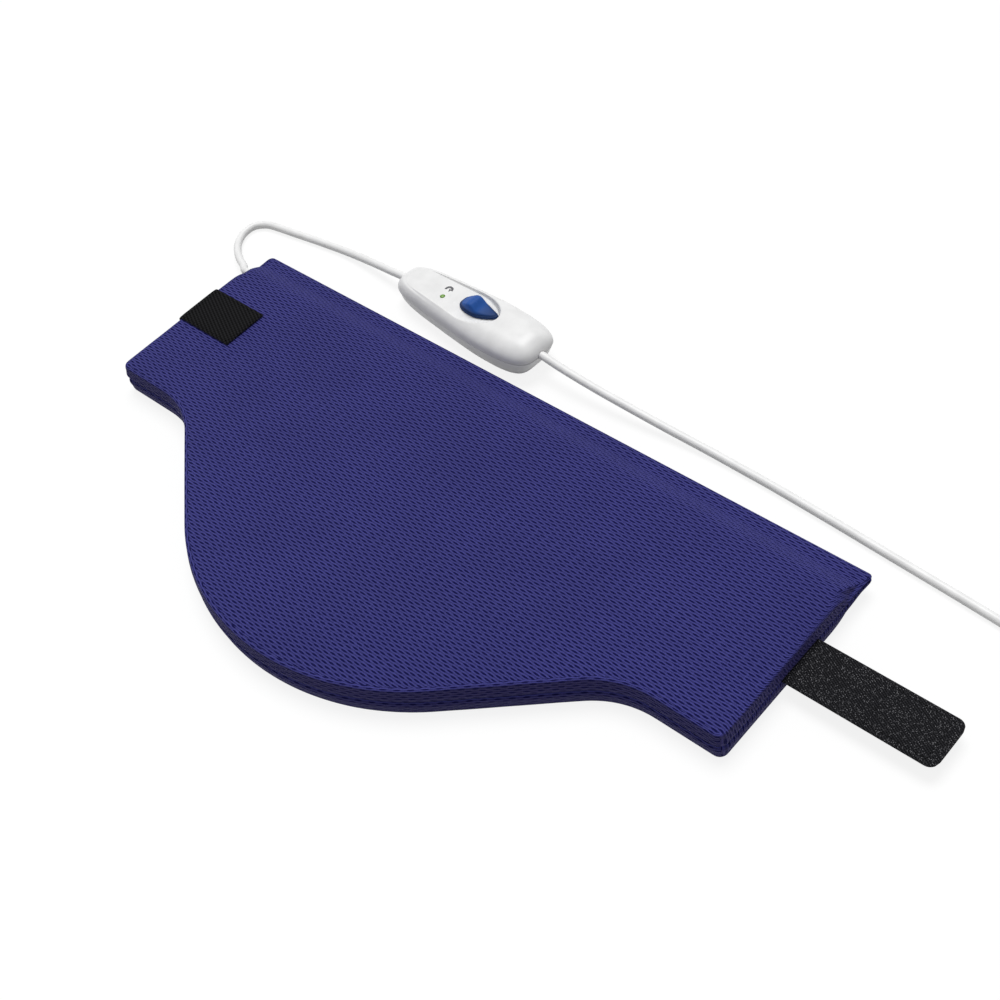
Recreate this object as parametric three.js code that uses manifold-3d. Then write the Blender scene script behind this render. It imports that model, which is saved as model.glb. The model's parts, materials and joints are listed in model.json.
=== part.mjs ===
// Neck heating pad: a boxed mesh-fabric pad with a round front bib, a strap and a loop patch to close it,
// a hand control with a slider in its cord, and a mains cord coiled up to its plug.
// Millimetres, +Z up. The origin is the centre of the pad's underside, +X runs along the straight hem
// towards the strap, and +Y points from the bib to the hem.

import * as THREE from 'three';
import { mergeVertices } from 'three/addons/utils/BufferGeometryUtils.js';
import Module from 'manifold-3d';

const wasm = await Module();
wasm.setup();

// Clearances
const pieceGap = 0.3;
const seamGap = 0.3;
const overrun = 6;

// Pad outline and height
const padLength = 480;
const padDepth = 240;
const wingDepth = 136;
const padHeight = 22;
const bibRadius = 154;
const bibFilletRadius = 58;
const wingCornerRadius = 7;
const flankAngle = THREE.MathUtils.degToRad(41);

// Pad covers: wall, seam, hem and the slope that leads down to it
const coverThickness = 2.5;
const seamValley = 0.6;
const seamAllowance = 6.5;
const hemDepth = 10;
const hemThickness = 3.6;
const slopeRun = 14;
const topEdgeRadius = 5.5;
const wallBelly = 1;

// Pad filling
const fillingBackMargin = 10;
const carrierThickness = 1.2;
const heatingCordDiameter = 2.4;
const heatingRows = 6;
const heatingMargin = 24;
const heatingLastRow = 53;
const endCapLength = 12;
const endCapDiameter = 3.2;
const jointCoverLength = 28;
const jointCoverWidth = 10;
const jointCoverHeight = 7;
const jointFromEnd = 64;
const jointFromHemShare = 0.265;
const cutoutLength = 14;
const cutoutDiameter = 5;

// Loop patch and strap
const patchLength = 44;
const tapeWidth = 33.5;
const patchThickness = 1.3;
const strapThickness = 1.8;
const strapRootInside = 8;
const strapRootOutside = 10;
const strapFreeLength = 82;
const hookTabLength = 42;
const hookTabThickness = 1.3;
const hookTabMargin = 1.5;

// Cords
const cordDiameter = 5.4;
const cordSides = 10;
const bushingFromHem = 20;
const bushingWall = 0.9;
const bushingCollar = 0.7;
const bushingCollarThickness = 1.4;
const bushingStandOut = 4.5;

// Control housing
const controlLength = 130;
const controlWidth = 41;
const controlFromEnd = 158;
const controlFromHem = 31.9;
const controlTurn = THREE.MathUtils.degToRad(-4);
const padPartingHeight = 11.1;
const mainsPartingHeight = 15.5;
const padCrownHeight = 21.2;
const mainsCrownHeight = 26;
const crownRoll = 14;
const shellWall = 2;
const lowerShellInset = 0.8;
const lowerEdgeRadius = 5;
const lowerShellDraft = 2;
const mainsEndSlant = 4.5;
const jointTongueHeight = 1.4;
const jointTongueWidth = 1.2;
const ceilingHeight = 18.2;
const padEndSquareness = 3.6;
const mainsEndSquareness = 4.2;
const padEndNarrowingShare = 0.18;
const narrowingStartX = 25;
const narrowingEndX = -45;

// Recess, slider and indicator in the control's top
const recessFloor = 20.4;
const recessHalfWidth = 13.5;
const recessEndReach = 25.5;
const recessNarrowing = 5;
const sliderCentreX = 7;
const sliderOffsetY = 1;
const sliderHalfLength = 14.4;
const sliderHalfWidth = 7.1;
const sliderTipNarrowingShare = 0.36;
const sliderEdgeHeight = 2.8;
const sliderDome = 0.6;
const sliderHumpHeight = 4.5;
const sliderHumpOffset = 4.4;
const sliderPadSpread = 7.3;
const sliderMainsSpread = 6.1;
const sliderTravel = 8;
const stemLength = 6;
const stemWidth = 4.4;
const leverLength = 3;
const leverWidth = 2;
const leverHeight = 5;
const lampPlace = new THREE.Vector2(-22.6, -3.6);
const lensDiameter = 3;
const lensFlange = 1;
const lensFlangeThickness = 0.8;
const lampLength = 3.2;
const lampWidth = 2.4;
const lampHeight = 1.6;

// Board and what it carries
const boardStartX = -30;
const boardEndX = 38;
const boardWidth = 23;
const boardThickness = 1.6;
const boardUnderside = 6;
const boardPostDiameter = 4;
const boardPostMargin = 3.2;
const switchLength = 19;
const switchWidth = 8;
const switchHeight = 5.6;
const switchSlotDepth = 3;
const powerBlockSize = new THREE.Vector3(9, 8, 5);
const powerBlockX = 27;
const fuseLength = 10;
const fuseDiameter = 3.4;
const fuseX = -15;

// Screws and cord grips in the control
const screwShaftDiameter = 2.6;
const screwHeadDiameter = 5.4;
const screwHeadHeight = 2;
const screwSeatHeight = 3.4;
const screwReach = 2;
const bossDiameter = 7;
const screwPlaces = [new THREE.Vector2(-40, 7.5), new THREE.Vector2(43.5, -8.6)];
const gripLength = 5;
const gripWidth = 12;
const gripCrown = 1.2;
const gripRoomMargin = 0.6;
const gripFromEnd = 12;
const cordInsideControl = 16;

// Plug
const plugLength = 36;
const plugWidth = 35;
const plugRearWidth = 15;
const plugHeight = 13.7;
const plugEdgeRadius = 3;
const pinSpacing = 19;
const pinDiameter = 4;
const pinSleeveDiameter = 3.8;
const pinLength = 19;
const pinSleeveLength = 10;
const pinRoot = 3;
const reliefLength = 28;
const reliefRootDiameter = 9.6;
const reliefTipDiameter = 7.6;
const reliefRibs = 5;
const reliefGroove = 0.9;
const reliefGrooveShares = [0.25, 0.45, 0.55, 0.75];

// Coil of the mains cord
const coilFromEnd = 132;
const coilFromHem = 55;
const coilInnerRadius = 20.5;
const coilTurns = 7.25;
const coilPitch = 6.1;
const coilLift = 1.2;
const coilLayerRise = 6.15;
const coilSides = 6;
const coilStepsPerTurn = 24;
const tieThickness = 0.9;
const tieWidth = 7;
const tieAngle = THREE.MathUtils.degToRad(140);
const tailReach = 24;
const plugFromCoil = 62;

// Facets
const cornerSteps = 4;
const filletSteps = 5;
const bibSteps = 16;
const roundSteps = 4;
const controlOutlineSteps = 44;
const turnedSides = 24;
const smallTurnedSides = 12;
const reliefSides = 16;

// Looks
const meshFabricLook = { color: 0x2f2a6e, roughness: 0.9, metalness: 0 };
const tapeLook = { color: 0x17171a, roughness: 0.85, metalness: 0 };
const paddingLook = { color: 0xe9e6dc, roughness: 0.95, metalness: 0 };
const heaterLook = { color: 0xb8452f, roughness: 0.6, metalness: 0 };
const whitePlasticLook = { color: 0xeeeeef, roughness: 0.3, metalness: 0 };
const bluePlasticLook = { color: 0x26509a, roughness: 0.35, metalness: 0 };
const greenLensLook = { color: 0x6f9c2e, roughness: 0.2, metalness: 0 };
const blackPlasticLook = { color: 0x222226, roughness: 0.5, metalness: 0 };
const boardLook = { color: 0x2e6b45, roughness: 0.6, metalness: 0 };
const steelLook = { color: 0xb9bcc0, roughness: 0.35, metalness: 1 };
const brassLook = { color: 0xc9a45c, roughness: 0.3, metalness: 1 };
const cordLook = { color: 0xf0f0f0, roughness: 0.5, metalness: 0 };

const heatingPad = new THREE.Group();
heatingPad.name = 'neck_heating_pad';
const controlCentre = new THREE.Vector2(-padLength / 2 + controlFromEnd, padDepth / 2 + controlFromHem);
const control = new THREE.Group();
control.position.set(controlCentre.x, controlCentre.y, 0);
control.rotation.z = controlTurn;
heatingPad.add(control);

function addPart(name, geometry, look, parent = heatingPad) {
  const part = new THREE.Mesh(outward(geometry), new THREE.MeshStandardMaterial(look));
  part.name = name;
  parent.add(part);
  return part;
}

// Geometry helpers

// Only positions, shared between faces, with no face of zero area left.
function welded(geometry) {
  const bare = geometry.clone();
  bare.deleteAttribute('normal');
  bare.deleteAttribute('uv');
  const merged = mergeVertices(bare);
  const index = merged.index.array;
  const kept = [];
  for (let i = 0; i < index.length; i += 3) {
    const [a, b, c] = [index[i], index[i + 1], index[i + 2]];
    if (a !== b && b !== c && c !== a) kept.push(a, b, c);
  }
  merged.setIndex(kept);
  return merged;
}

function signedVolume(geometry) {
  const position = geometry.attributes.position;
  const index = geometry.index.array;
  const a = new THREE.Vector3();
  const b = new THREE.Vector3();
  const c = new THREE.Vector3();
  let total = 0;
  for (let i = 0; i < index.length; i += 3) {
    a.fromBufferAttribute(position, index[i]);
    b.fromBufferAttribute(position, index[i + 1]);
    c.fromBufferAttribute(position, index[i + 2]);
    total += a.dot(b.cross(c));
  }
  return total;
}

// The same faces, turned so that they point out of the body.
function outward(geometry) {
  const solid = welded(geometry);
  if (signedVolume(solid) < 0) {
    const index = solid.index.array;
    for (let i = 0; i < index.length; i += 3) {
      const swapped = index[i + 1];
      index[i + 1] = index[i + 2];
      index[i + 2] = swapped;
    }
  }
  solid.computeVertexNormals();
  return solid;
}

function toSolid(geometry) {
  const solid = outward(geometry);
  const vertProperties = new Float32Array(solid.attributes.position.array);
  const triVerts = new Uint32Array(solid.index.array);
  return new wasm.Manifold(new wasm.Mesh({ numProp: 3, vertProperties, triVerts }));
}

function toGeometry(solid) {
  const mesh = solid.getMesh();
  const geometry = new THREE.BufferGeometry();
  geometry.setAttribute('position', new THREE.Float32BufferAttribute(mesh.vertProperties, 3));
  geometry.setIndex(Array.from(mesh.triVerts));
  return geometry;
}

function cut(body, cutters) {
  let solid = toSolid(body);
  for (const cutter of cutters) solid = solid.subtract(toSolid(cutter));
  return toGeometry(solid);
}

function join(body, additions) {
  let solid = toSolid(body);
  for (const addition of additions) solid = solid.add(toSolid(addition));
  return toGeometry(solid);
}

// A closed body through rings of equally many points, with its first and last ring filled in plan.
function bodyThroughRings(rings) {
  const count = rings[0].length;
  const positions = rings.flat().flatMap((point) => [point.x, point.y, point.z]);
  const index = [];
  for (let ring = 0; ring + 1 < rings.length; ring++) {
    for (let i = 0; i < count; i++) {
      const next = (i + 1) % count;
      const [a, b] = [ring * count + i, ring * count + next];
      const [c, d] = [a + count, b + count];
      index.push(a, c, b, b, c, d);
    }
  }
  const fill = (ring, flip) => {
    const outline = rings[ring].map((point) => new THREE.Vector2(point.x, point.y));
    for (const [a, b, c] of THREE.ShapeUtils.triangulateShape(outline, [])) {
      const corners = flip ? [a, c, b] : [a, b, c];
      index.push(...corners.map((corner) => ring * count + corner));
    }
  };
  fill(0, false);
  fill(rings.length - 1, true);
  const geometry = new THREE.BufferGeometry();
  geometry.setAttribute('position', new THREE.Float32BufferAttribute(positions, 3));
  geometry.setIndex(index);
  return geometry;
}

// A route that a tube follows through chosen stations, with one ring of the tube at each.
class StationRoute extends THREE.Curve {
  constructor(stations) {
    super();
    this.stations = stations;
  }

  getPoint(share, target = new THREE.Vector3()) {
    const place = share * (this.stations.length - 1);
    const first = Math.min(Math.floor(place), this.stations.length - 2);
    return target.lerpVectors(this.stations[first], this.stations[first + 1], place - first);
  }

  getPointAt(share, target) {
    return this.getPoint(share, target);
  }

  getTangentAt(share, target = new THREE.Vector3()) {
    const last = this.stations.length - 1;
    const here = Math.round(share * last);
    const before = this.stations[Math.max(here - 1, 0)];
    const after = this.stations[Math.min(here + 1, last)];
    return target.subVectors(after, before).normalize();
  }
}

function polygonShape(radius, sides) {
  const corners = [];
  for (let side = 0; side < sides; side++) {
    const angle = (side + 0.5) * 2 * Math.PI / sides;
    corners.push(new THREE.Vector2(radius * Math.cos(angle), radius * Math.sin(angle)));
  }
  return new THREE.Shape(corners);
}

function tubeAlong(stations, diameter, sides) {
  return new THREE.ExtrudeGeometry(polygonShape(diameter / 2, sides), {
    steps: stations.length - 1,
    bevelEnabled: false,
    extrudePath: new StationRoute(stations),
  });
}

// Stations along a smooth curve through the points, with straight ends one diameter long.
function cordStations(points, startDirection, endDirection, diameter, spacingShare = 2.4) {
  const start = points[0];
  const end = points[points.length - 1];
  const startRun = start.clone().addScaledVector(startDirection, diameter);
  const endRun = end.clone().addScaledVector(endDirection, -diameter);
  const curve = new THREE.CatmullRomCurve3([startRun, ...points.slice(1, -1), endRun], false, 'centripetal');
  const steps = Math.max(2, Math.round(curve.getLength() / (spacingShare * diameter)));
  return [start, ...curve.getSpacedPoints(steps), end];
}

function boxBetween(low, high) {
  const size = new THREE.Vector3().subVectors(high, low);
  const middle = new THREE.Vector3().addVectors(low, high).multiplyScalar(0.5);
  return new THREE.BoxGeometry(size.x, size.y, size.z).translate(middle.x, middle.y, middle.z);
}

// A turned piece whose profile is given as distances along the axis and radii, laid along +X.
function turnedAlongX(profile, sides = turnedSides) {
  const points = profile.map(([along, radius]) => new THREE.Vector2(radius, along));
  return new THREE.LatheGeometry(points, sides).rotateZ(-Math.PI / 2);
}

function turnedAlongZ(profile, sides = turnedSides) {
  const points = profile.map(([along, radius]) => new THREE.Vector2(radius, along));
  return new THREE.LatheGeometry(points, sides).rotateX(Math.PI / 2);
}

function rodAlongX(startX, endX, y, z, diameter, sides = turnedSides) {
  const rod = new THREE.CylinderGeometry(diameter / 2, diameter / 2, endX - startX, sides);
  return rod.rotateZ(Math.PI / 2).translate((startX + endX) / 2, y, z);
}

function rodAlongZ(x, y, lowZ, highZ, diameter, sides = turnedSides) {
  const rod = new THREE.CylinderGeometry(diameter / 2, diameter / 2, highZ - lowZ, sides);
  return rod.rotateX(Math.PI / 2).translate(x, y, (lowZ + highZ) / 2);
}

// Pad

const hemY = padDepth / 2;
const wingFrontY = hemY - wingDepth;
const bibFrontY = hemY - padDepth;
const midHeight = padHeight / 2;
const tapeCentreY = hemY - wingDepth / 2;
const bushingPlaceY = hemY - bushingFromHem;
const jointPlace = new THREE.Vector2(-padLength / 2 + jointFromEnd, hemY - jointFromHemShare * wingDepth);

// The pad's outline in plan, drawn in from its sides and from its hem by two distances of their own.
// The wings' front edges run into the bib's flanks in fillets, and the flanks into its round front.
function padOutline(sideInset, hemInset) {
  const points = [];
  const endX = padLength / 2 - sideInset;
  const frontY = wingFrontY + sideInset;
  const cornerRadius = Math.max(wingCornerRadius - sideInset, wingCornerRadius / 4);
  const roundRadius = bibRadius - sideInset;
  const filletRadius = bibFilletRadius + sideInset;
  const roundCentreY = bibFrontY + bibRadius;
  const flankDrop = padDepth - wingDepth - (bibRadius + bibFilletRadius) * (1 - Math.cos(flankAngle));
  const flankRun = flankDrop / Math.tan(flankAngle);
  const filletCentreX = (bibRadius + bibFilletRadius) * Math.sin(flankAngle) + flankRun;
  const filletCentreY = wingFrontY - bibFilletRadius;
  const arc = (centreX, centreY, radius, fromAngle, toAngle, steps) => {
    for (let step = 0; step <= steps; step++) {
      const angle = THREE.MathUtils.lerp(fromAngle, toAngle, step / steps);
      points.push(new THREE.Vector2(centreX + radius * Math.cos(angle), centreY + radius * Math.sin(angle)));
    }
  };
  const right = Math.PI / 2;
  arc(-filletCentreX, filletCentreY, filletRadius, right, right - flankAngle, filletSteps);
  arc(0, roundCentreY, roundRadius, -right - flankAngle, -right + flankAngle, bibSteps);
  arc(filletCentreX, filletCentreY, filletRadius, right + flankAngle, right, filletSteps);
  arc(endX - cornerRadius, frontY + cornerRadius, cornerRadius, -right, 0, cornerSteps);
  points.push(new THREE.Vector2(endX, hemY - hemInset));
  points.push(new THREE.Vector2(-endX, hemY - hemInset));
  arc(-endX + cornerRadius, frontY + cornerRadius, cornerRadius, -Math.PI, -right, cornerSteps);
  return points;
}

// How far in from the hem the upper cover's slope stands at a height above the pad's middle.
function slopeInset(heightAboveMiddle) {
  const climbed = (heightAboveMiddle - hemThickness / 2) / (midHeight - hemThickness / 2);
  const share = THREE.MathUtils.clamp(climbed, 0, 1);
  return hemDepth + slopeRun * (0.75 * share + 0.25 * share * share);
}

// Outer levels of a cover, from its seam up to the flat top: [drawn in at the sides, at the hem, height].
function coverOuterLevels() {
  const hemTop = hemThickness / 2;
  const wallTop = midHeight - topEdgeRadius;
  const wallFoot = hemTop + coverThickness / 4;
  const wallMiddle = (wallFoot + wallTop) / 2;
  const levels = [
    [seamValley, 0, seamGap / 2],
    [-wallBelly / 2, 0, hemTop * 0.7],
    [-wallBelly, slopeInset(wallFoot), wallFoot],
    [-wallBelly, slopeInset(wallMiddle), wallMiddle],
  ];
  for (let step = 0; step <= roundSteps; step++) {
    const angle = step / roundSteps * Math.PI / 2;
    const height = wallTop + topEdgeRadius * Math.sin(angle);
    levels.push([topEdgeRadius * (1 - Math.cos(angle)), slopeInset(height), height]);
  }
  const crest = levels[levels.length - 1];
  crest[1] += topEdgeRadius / 2;
  return levels;
}

// Inner levels of the same cover, from under its flat top down to the turned-in seam allowance.
function coverInnerLevels() {
  const ceiling = midHeight - coverThickness;
  const allowanceTop = seamGap / 2 + coverThickness * 0.66;
  const slopeWall = coverThickness * 1.2;
  const innerRound = topEdgeRadius - coverThickness / 2;
  const roundMiddle = ceiling - innerRound * 0.3;
  const roundFoot = ceiling - innerRound;
  const hemAllowance = slopeInset(allowanceTop + slopeWall) + coverThickness / 2;
  return [
    [coverThickness + innerRound, slopeInset(midHeight) + topEdgeRadius, ceiling],
    [coverThickness + innerRound * 0.3, slopeInset(roundMiddle + slopeWall), roundMiddle],
    [coverThickness, slopeInset(roundFoot + slopeWall), roundFoot],
    [coverThickness, slopeInset(allowanceTop + slopeWall), allowanceTop],
    [coverThickness + seamAllowance, hemAllowance, allowanceTop],
    [coverThickness + seamAllowance, hemAllowance, seamGap / 2],
  ];
}

// One cover: side is +1 for the upper one and -1 for the lower one, which mirrors it.
function coverBody(side) {
  const ringAt = ([sideInset, hemInset, height]) => padOutline(sideInset, hemInset).map(
    (point) => new THREE.Vector3(point.x, point.y, midHeight + side * height),
  );
  const outer = coverOuterLevels().map(ringAt).reverse();
  const inner = coverInnerLevels().map(ringAt).reverse();
  return bodyThroughRings([...outer, ...inner]);
}

function slabInPad(margin, hemMargin, lowZ, highZ) {
  const outline = padOutline(margin, hemMargin);
  const ringAt = (z) => outline.map((point) => new THREE.Vector3(point.x, point.y, z));
  return bodyThroughRings([ringAt(highZ), ringAt(lowZ)]);
}

// Where the strap and the cord pass through the seam, both covers are cut back round them.
const strapCutter = boxBetween(
  new THREE.Vector3(
    padLength / 2 - strapRootInside - pieceGap,
    tapeCentreY - tapeWidth / 2 - pieceGap,
    midHeight - strapThickness / 2 - pieceGap,
  ),
  new THREE.Vector3(
    padLength / 2 + wallBelly + overrun,
    tapeCentreY + tapeWidth / 2 + pieceGap,
    midHeight + strapThickness / 2 + pieceGap,
  ),
);
const bushingBore = cordDiameter + 2 * pieceGap;
const bushingDiameter = bushingBore + 2 * bushingWall;
const bushingInnerX = -padLength / 2 + coverThickness + seamAllowance + pieceGap;
const bushingOuterX = -padLength / 2 - bushingStandOut;
const bushingCutter = rodAlongX(
  bushingOuterX - overrun, bushingInnerX + overrun, bushingPlaceY, midHeight, bushingDiameter + 2 * pieceGap,
);
addPart('top_cover', cut(coverBody(1), [strapCutter, bushingCutter]), meshFabricLook);
addPart('bottom_cover', cut(coverBody(-1), [strapCutter, bushingCutter]), meshFabricLook);

// The filling: wadding below, the heater carrier with its cord, and wadding above
// with a pocket for the joint.
const fillingMargin = coverThickness + seamAllowance + pieceGap;
const fillingHemMargin = slopeInset(midHeight) + fillingBackMargin;
const fillingLow = coverThickness + pieceGap;
const fillingHigh = padHeight - coverThickness - pieceGap;
const carrierLow = midHeight - carrierThickness;
const heatingCordZ = midHeight + pieceGap + endCapDiameter / 2;
const upperWaddingLow = heatingCordZ + endCapDiameter / 2 + pieceGap;
addPart('bottom_wadding', slabInPad(fillingMargin, fillingHemMargin, fillingLow, carrierLow - pieceGap),
  paddingLook);
addPart('heater_carrier', slabInPad(fillingMargin, fillingHemMargin, carrierLow, midHeight), paddingLook);

const jointLowZ = midHeight + pieceGap;
const jointMiddleZ = jointLowZ + jointCoverHeight / 2;
const cutoutX = jointPlace.x + jointCoverLength / 2 + pieceGap + cutoutLength / 2;
const pocketCutter = boxBetween(
  new THREE.Vector3(
    jointPlace.x - jointCoverLength / 2 - 4 * cordDiameter,
    jointPlace.y - jointCoverWidth / 2 - pieceGap,
    upperWaddingLow - overrun,
  ),
  new THREE.Vector3(
    cutoutX + cutoutLength / 2 + 2 * heatingCordDiameter,
    hemY,
    jointLowZ + jointCoverHeight + pieceGap,
  ),
);
addPart('top_wadding',
  cut(slabInPad(fillingMargin, fillingHemMargin, upperWaddingLow, fillingHigh), [pocketCutter]), paddingLook);

function jointCover() {
  const half = new THREE.Vector3(jointCoverLength / 2, jointCoverWidth / 2, jointCoverHeight / 2);
  const chamfer = jointCoverHeight / 5;
  const corners = [
    [-half.y, -half.z + chamfer], [-half.y + chamfer, -half.z], [half.y - chamfer, -half.z],
    [half.y, -half.z + chamfer], [half.y, half.z - chamfer], [half.y - chamfer, half.z],
    [-half.y + chamfer, half.z], [-half.y, half.z - chamfer],
  ];
  const section = new THREE.Shape(corners.map(([across, up]) => new THREE.Vector2(across, up)));
  const body = new THREE.ExtrudeGeometry(section, { depth: jointCoverLength, bevelEnabled: false });
  body.rotateX(Math.PI / 2).rotateZ(Math.PI / 2);
  return body.translate(jointPlace.x - half.x, jointPlace.y, jointMiddleZ);
}
addPart('joint_cover', jointCover(), whitePlasticLook);

const cutoutRound = cutoutDiameter / 2;
const cutoutZ = jointLowZ + cutoutRound;
addPart('thermal_cutout', turnedAlongX([
  [-cutoutLength / 2, 0], [-cutoutLength / 2, cutoutRound * 0.6],
  [-cutoutLength / 2 + cutoutRound / 2, cutoutRound], [cutoutLength / 2 - cutoutRound / 2, cutoutRound],
  [cutoutLength / 2, cutoutRound * 0.6], [cutoutLength / 2, 0],
], smallTurnedSides).translate(cutoutX, jointPlace.y, cutoutZ), steelLook);

// Half the pad's width in plan at a place along Y, inside a margin.
function halfWidthAt(y, margin) {
  const roundCentreY = bibFrontY + bibRadius;
  if (y >= wingFrontY + margin) return padLength / 2 - margin;
  const flankTopY = wingFrontY - bibFilletRadius * (1 - Math.cos(flankAngle));
  const roundTopY = bibFrontY + bibRadius * (1 - Math.cos(flankAngle));
  const slack = margin / Math.sin(flankAngle);
  const flankRun = (Math.min(y, flankTopY) - roundTopY) / Math.tan(flankAngle);
  if (y > roundTopY) return bibRadius * Math.sin(flankAngle) + flankRun - slack;
  const reach = bibRadius - margin;
  return Math.sqrt(Math.max(reach * reach - (roundCentreY - y) ** 2, 0));
}

// The heating cord runs to and fro across the pad in rows joined by half-round bends.
function heatingCordRoute() {
  const firstY = jointPlace.y;
  const lastY = bibFrontY + heatingLastRow;
  const rowPitch = (firstY - lastY) / (heatingRows - 1);
  const bendRadius = rowPitch / 2;
  const stations = [new THREE.Vector3(cutoutX + cutoutLength / 2 + pieceGap, firstY, heatingCordZ)];
  for (let row = 0; row + 1 < heatingRows; row++) {
    const y = firstY - row * rowPitch;
    const side = row % 2 === 0 ? 1 : -1;
    const reach = Math.min(halfWidthAt(y, heatingMargin), halfWidthAt(y - rowPitch, heatingMargin));
    const bendX = side * (reach - bendRadius);
    for (let step = 0; step <= 2 * filletSteps; step++) {
      const angle = Math.PI / 2 - step / (2 * filletSteps) * Math.PI;
      const x = bendX + side * bendRadius * Math.cos(angle);
      stations.push(new THREE.Vector3(x, y - bendRadius + bendRadius * Math.sin(angle), heatingCordZ));
    }
  }
  const lastDirection = heatingRows % 2 === 0 ? -1 : 1;
  const lastX = lastDirection * (halfWidthAt(lastY, heatingMargin) - endCapLength);
  stations.push(new THREE.Vector3(lastX, lastY, heatingCordZ));
  return stations;
}
const heatingStations = heatingCordRoute();
addPart('heating_cord', tubeAlong(heatingStations, heatingCordDiameter, coilSides), heaterLook);
const heatingEnd = heatingStations[heatingStations.length - 1];
const heatingEndSide = Math.sign(heatingEnd.x - heatingStations[heatingStations.length - 2].x);
const endCapMiddleX = heatingEnd.x + heatingEndSide * (pieceGap + endCapLength / 2);
const endCap = rodAlongX(-endCapLength / 2, endCapLength / 2, 0, 0, endCapDiameter, smallTurnedSides);
endCap.translate(endCapMiddleX, heatingEnd.y, heatingCordZ);
addPart('heating_cord_end_cap', endCap, whitePlasticLook);

// Cord bushing through the seam, with a collar inside and one outside.
function cordBushing() {
  const bore = bushingBore / 2;
  const sleeve = bushingDiameter / 2;
  const collar = sleeve + bushingCollar;
  const innerEnd = bushingInnerX + bushingCollarThickness;
  const outerCollarX = -padLength / 2 - wallBelly - pieceGap;
  return turnedAlongX([
    [bushingOuterX, bore], [bushingOuterX, sleeve * 0.9], [outerCollarX - bushingCollarThickness, sleeve],
    [outerCollarX - bushingCollarThickness, collar * 0.94], [outerCollarX, collar], [outerCollarX, sleeve],
    [bushingInnerX, sleeve], [bushingInnerX, collar], [innerEnd, collar],
    [innerEnd, bore], [bushingOuterX, bore],
  ]).translate(0, bushingPlaceY, midHeight);
}
addPart('cord_bushing', cordBushing(), whitePlasticLook);

// Loop patch: a strip that lies on the top and turns down over the rounded edge at the end of the pad.
function loopPatch() {
  const edge = [];
  for (let step = 1; step <= roundSteps; step++) {
    const angle = step / roundSteps * Math.PI / 2;
    edge.push([Math.cos(angle), Math.sin(angle)]);
  }
  const centreX = -padLength / 2 + topEdgeRadius;
  const centreZ = padHeight - topEdgeRadius;
  const arcAt = (radius) => edge.map(([across, up]) => new THREE.Vector2(
    centreX - radius * across, centreZ + radius * up,
  ));
  const under = arcAt(topEdgeRadius + pieceGap);
  const over = arcAt(topEdgeRadius + pieceGap + patchThickness);
  const innerX = -padLength / 2 + patchLength;
  const profile = [
    ...under,
    new THREE.Vector2(innerX, padHeight + pieceGap),
    new THREE.Vector2(innerX, padHeight + pieceGap + patchThickness),
    ...over.reverse(),
  ];
  const section = new THREE.Shape(profile);
  const strip = new THREE.ExtrudeGeometry(section, { depth: tapeWidth, bevelEnabled: false });
  return strip.rotateX(Math.PI / 2).translate(0, tapeCentreY + tapeWidth / 2, 0);
}
addPart('loop_patch', loopPatch(), tapeLook);

// Strap: a root sewn into the seam, the free band, and the hook tab under the band's end.
const strapHalf = tapeWidth / 2;
const strapLow = midHeight - strapThickness / 2;
const strapHigh = midHeight + strapThickness / 2;
const strapFoldX = padLength / 2 + strapRootOutside;
const strapEndX = strapFoldX + pieceGap + strapFreeLength;
addPart('strap_root', boxBetween(
  new THREE.Vector3(padLength / 2 - strapRootInside, tapeCentreY - strapHalf, strapLow),
  new THREE.Vector3(strapFoldX, tapeCentreY + strapHalf, strapHigh),
), tapeLook);

function strapPlate(startX, endX, lowZ, highZ, cornerRadius, halfWidth) {
  const outline = new THREE.Shape();
  outline.moveTo(startX, -halfWidth);
  outline.lineTo(endX - cornerRadius, -halfWidth);
  outline.absarc(endX - cornerRadius, -halfWidth + cornerRadius, cornerRadius, -Math.PI / 2, 0, false);
  outline.absarc(endX - cornerRadius, halfWidth - cornerRadius, cornerRadius, 0, Math.PI / 2, false);
  outline.lineTo(startX, halfWidth);
  const plate = new THREE.ExtrudeGeometry(outline, {
    depth: highZ - lowZ, bevelEnabled: false, curveSegments: cornerSteps,
  });
  return plate.translate(0, tapeCentreY, lowZ);
}
const strapCorner = tapeWidth / 6;
addPart('strap_band', strapPlate(
  strapFoldX + pieceGap, strapEndX, strapLow, strapHigh, strapCorner, strapHalf,
), tapeLook);
const hookTabHigh = strapLow - pieceGap;
addPart('hook_tab', strapPlate(
  strapEndX - hookTabMargin - hookTabLength, strapEndX - hookTabMargin,
  hookTabHigh - hookTabThickness, hookTabHigh, strapCorner, strapHalf - hookTabMargin,
), tapeLook);

// Control

const controlHalfLength = controlLength / 2;
const controlHalfWidth = controlWidth / 2;

function controlPlace(x, y, z) {
  const turned = new THREE.Vector2(x, y).rotateAround(new THREE.Vector2(), controlTurn).add(controlCentre);
  return new THREE.Vector3(turned.x, turned.y, z);
}

// The housing's outline in plan: a squared oval, narrower towards the pad. It can be drawn in all round,
// and at the mains end by a slant of its own.
function controlOutline(inset, slant) {
  const points = [];
  for (let step = 0; step < controlOutlineSteps; step++) {
    const angle = step / controlOutlineSteps * 2 * Math.PI;
    const along = Math.cos(angle);
    const across = Math.sin(angle);
    const power = 2 / (along > 0 ? mainsEndSquareness : padEndSquareness);
    const reach = controlHalfLength - inset - (along > 0 ? slant : 0);
    const x = reach * Math.sign(along) * Math.abs(along) ** power;
    const narrowed = 1 - padEndNarrowingShare * THREE.MathUtils.smoothstep(-x, -narrowingStartX, -narrowingEndX);
    const y = (controlHalfWidth - inset) * narrowed * Math.sign(across) * Math.abs(across) ** power;
    points.push(new THREE.Vector2(x, y));
  }
  return points;
}

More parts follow.
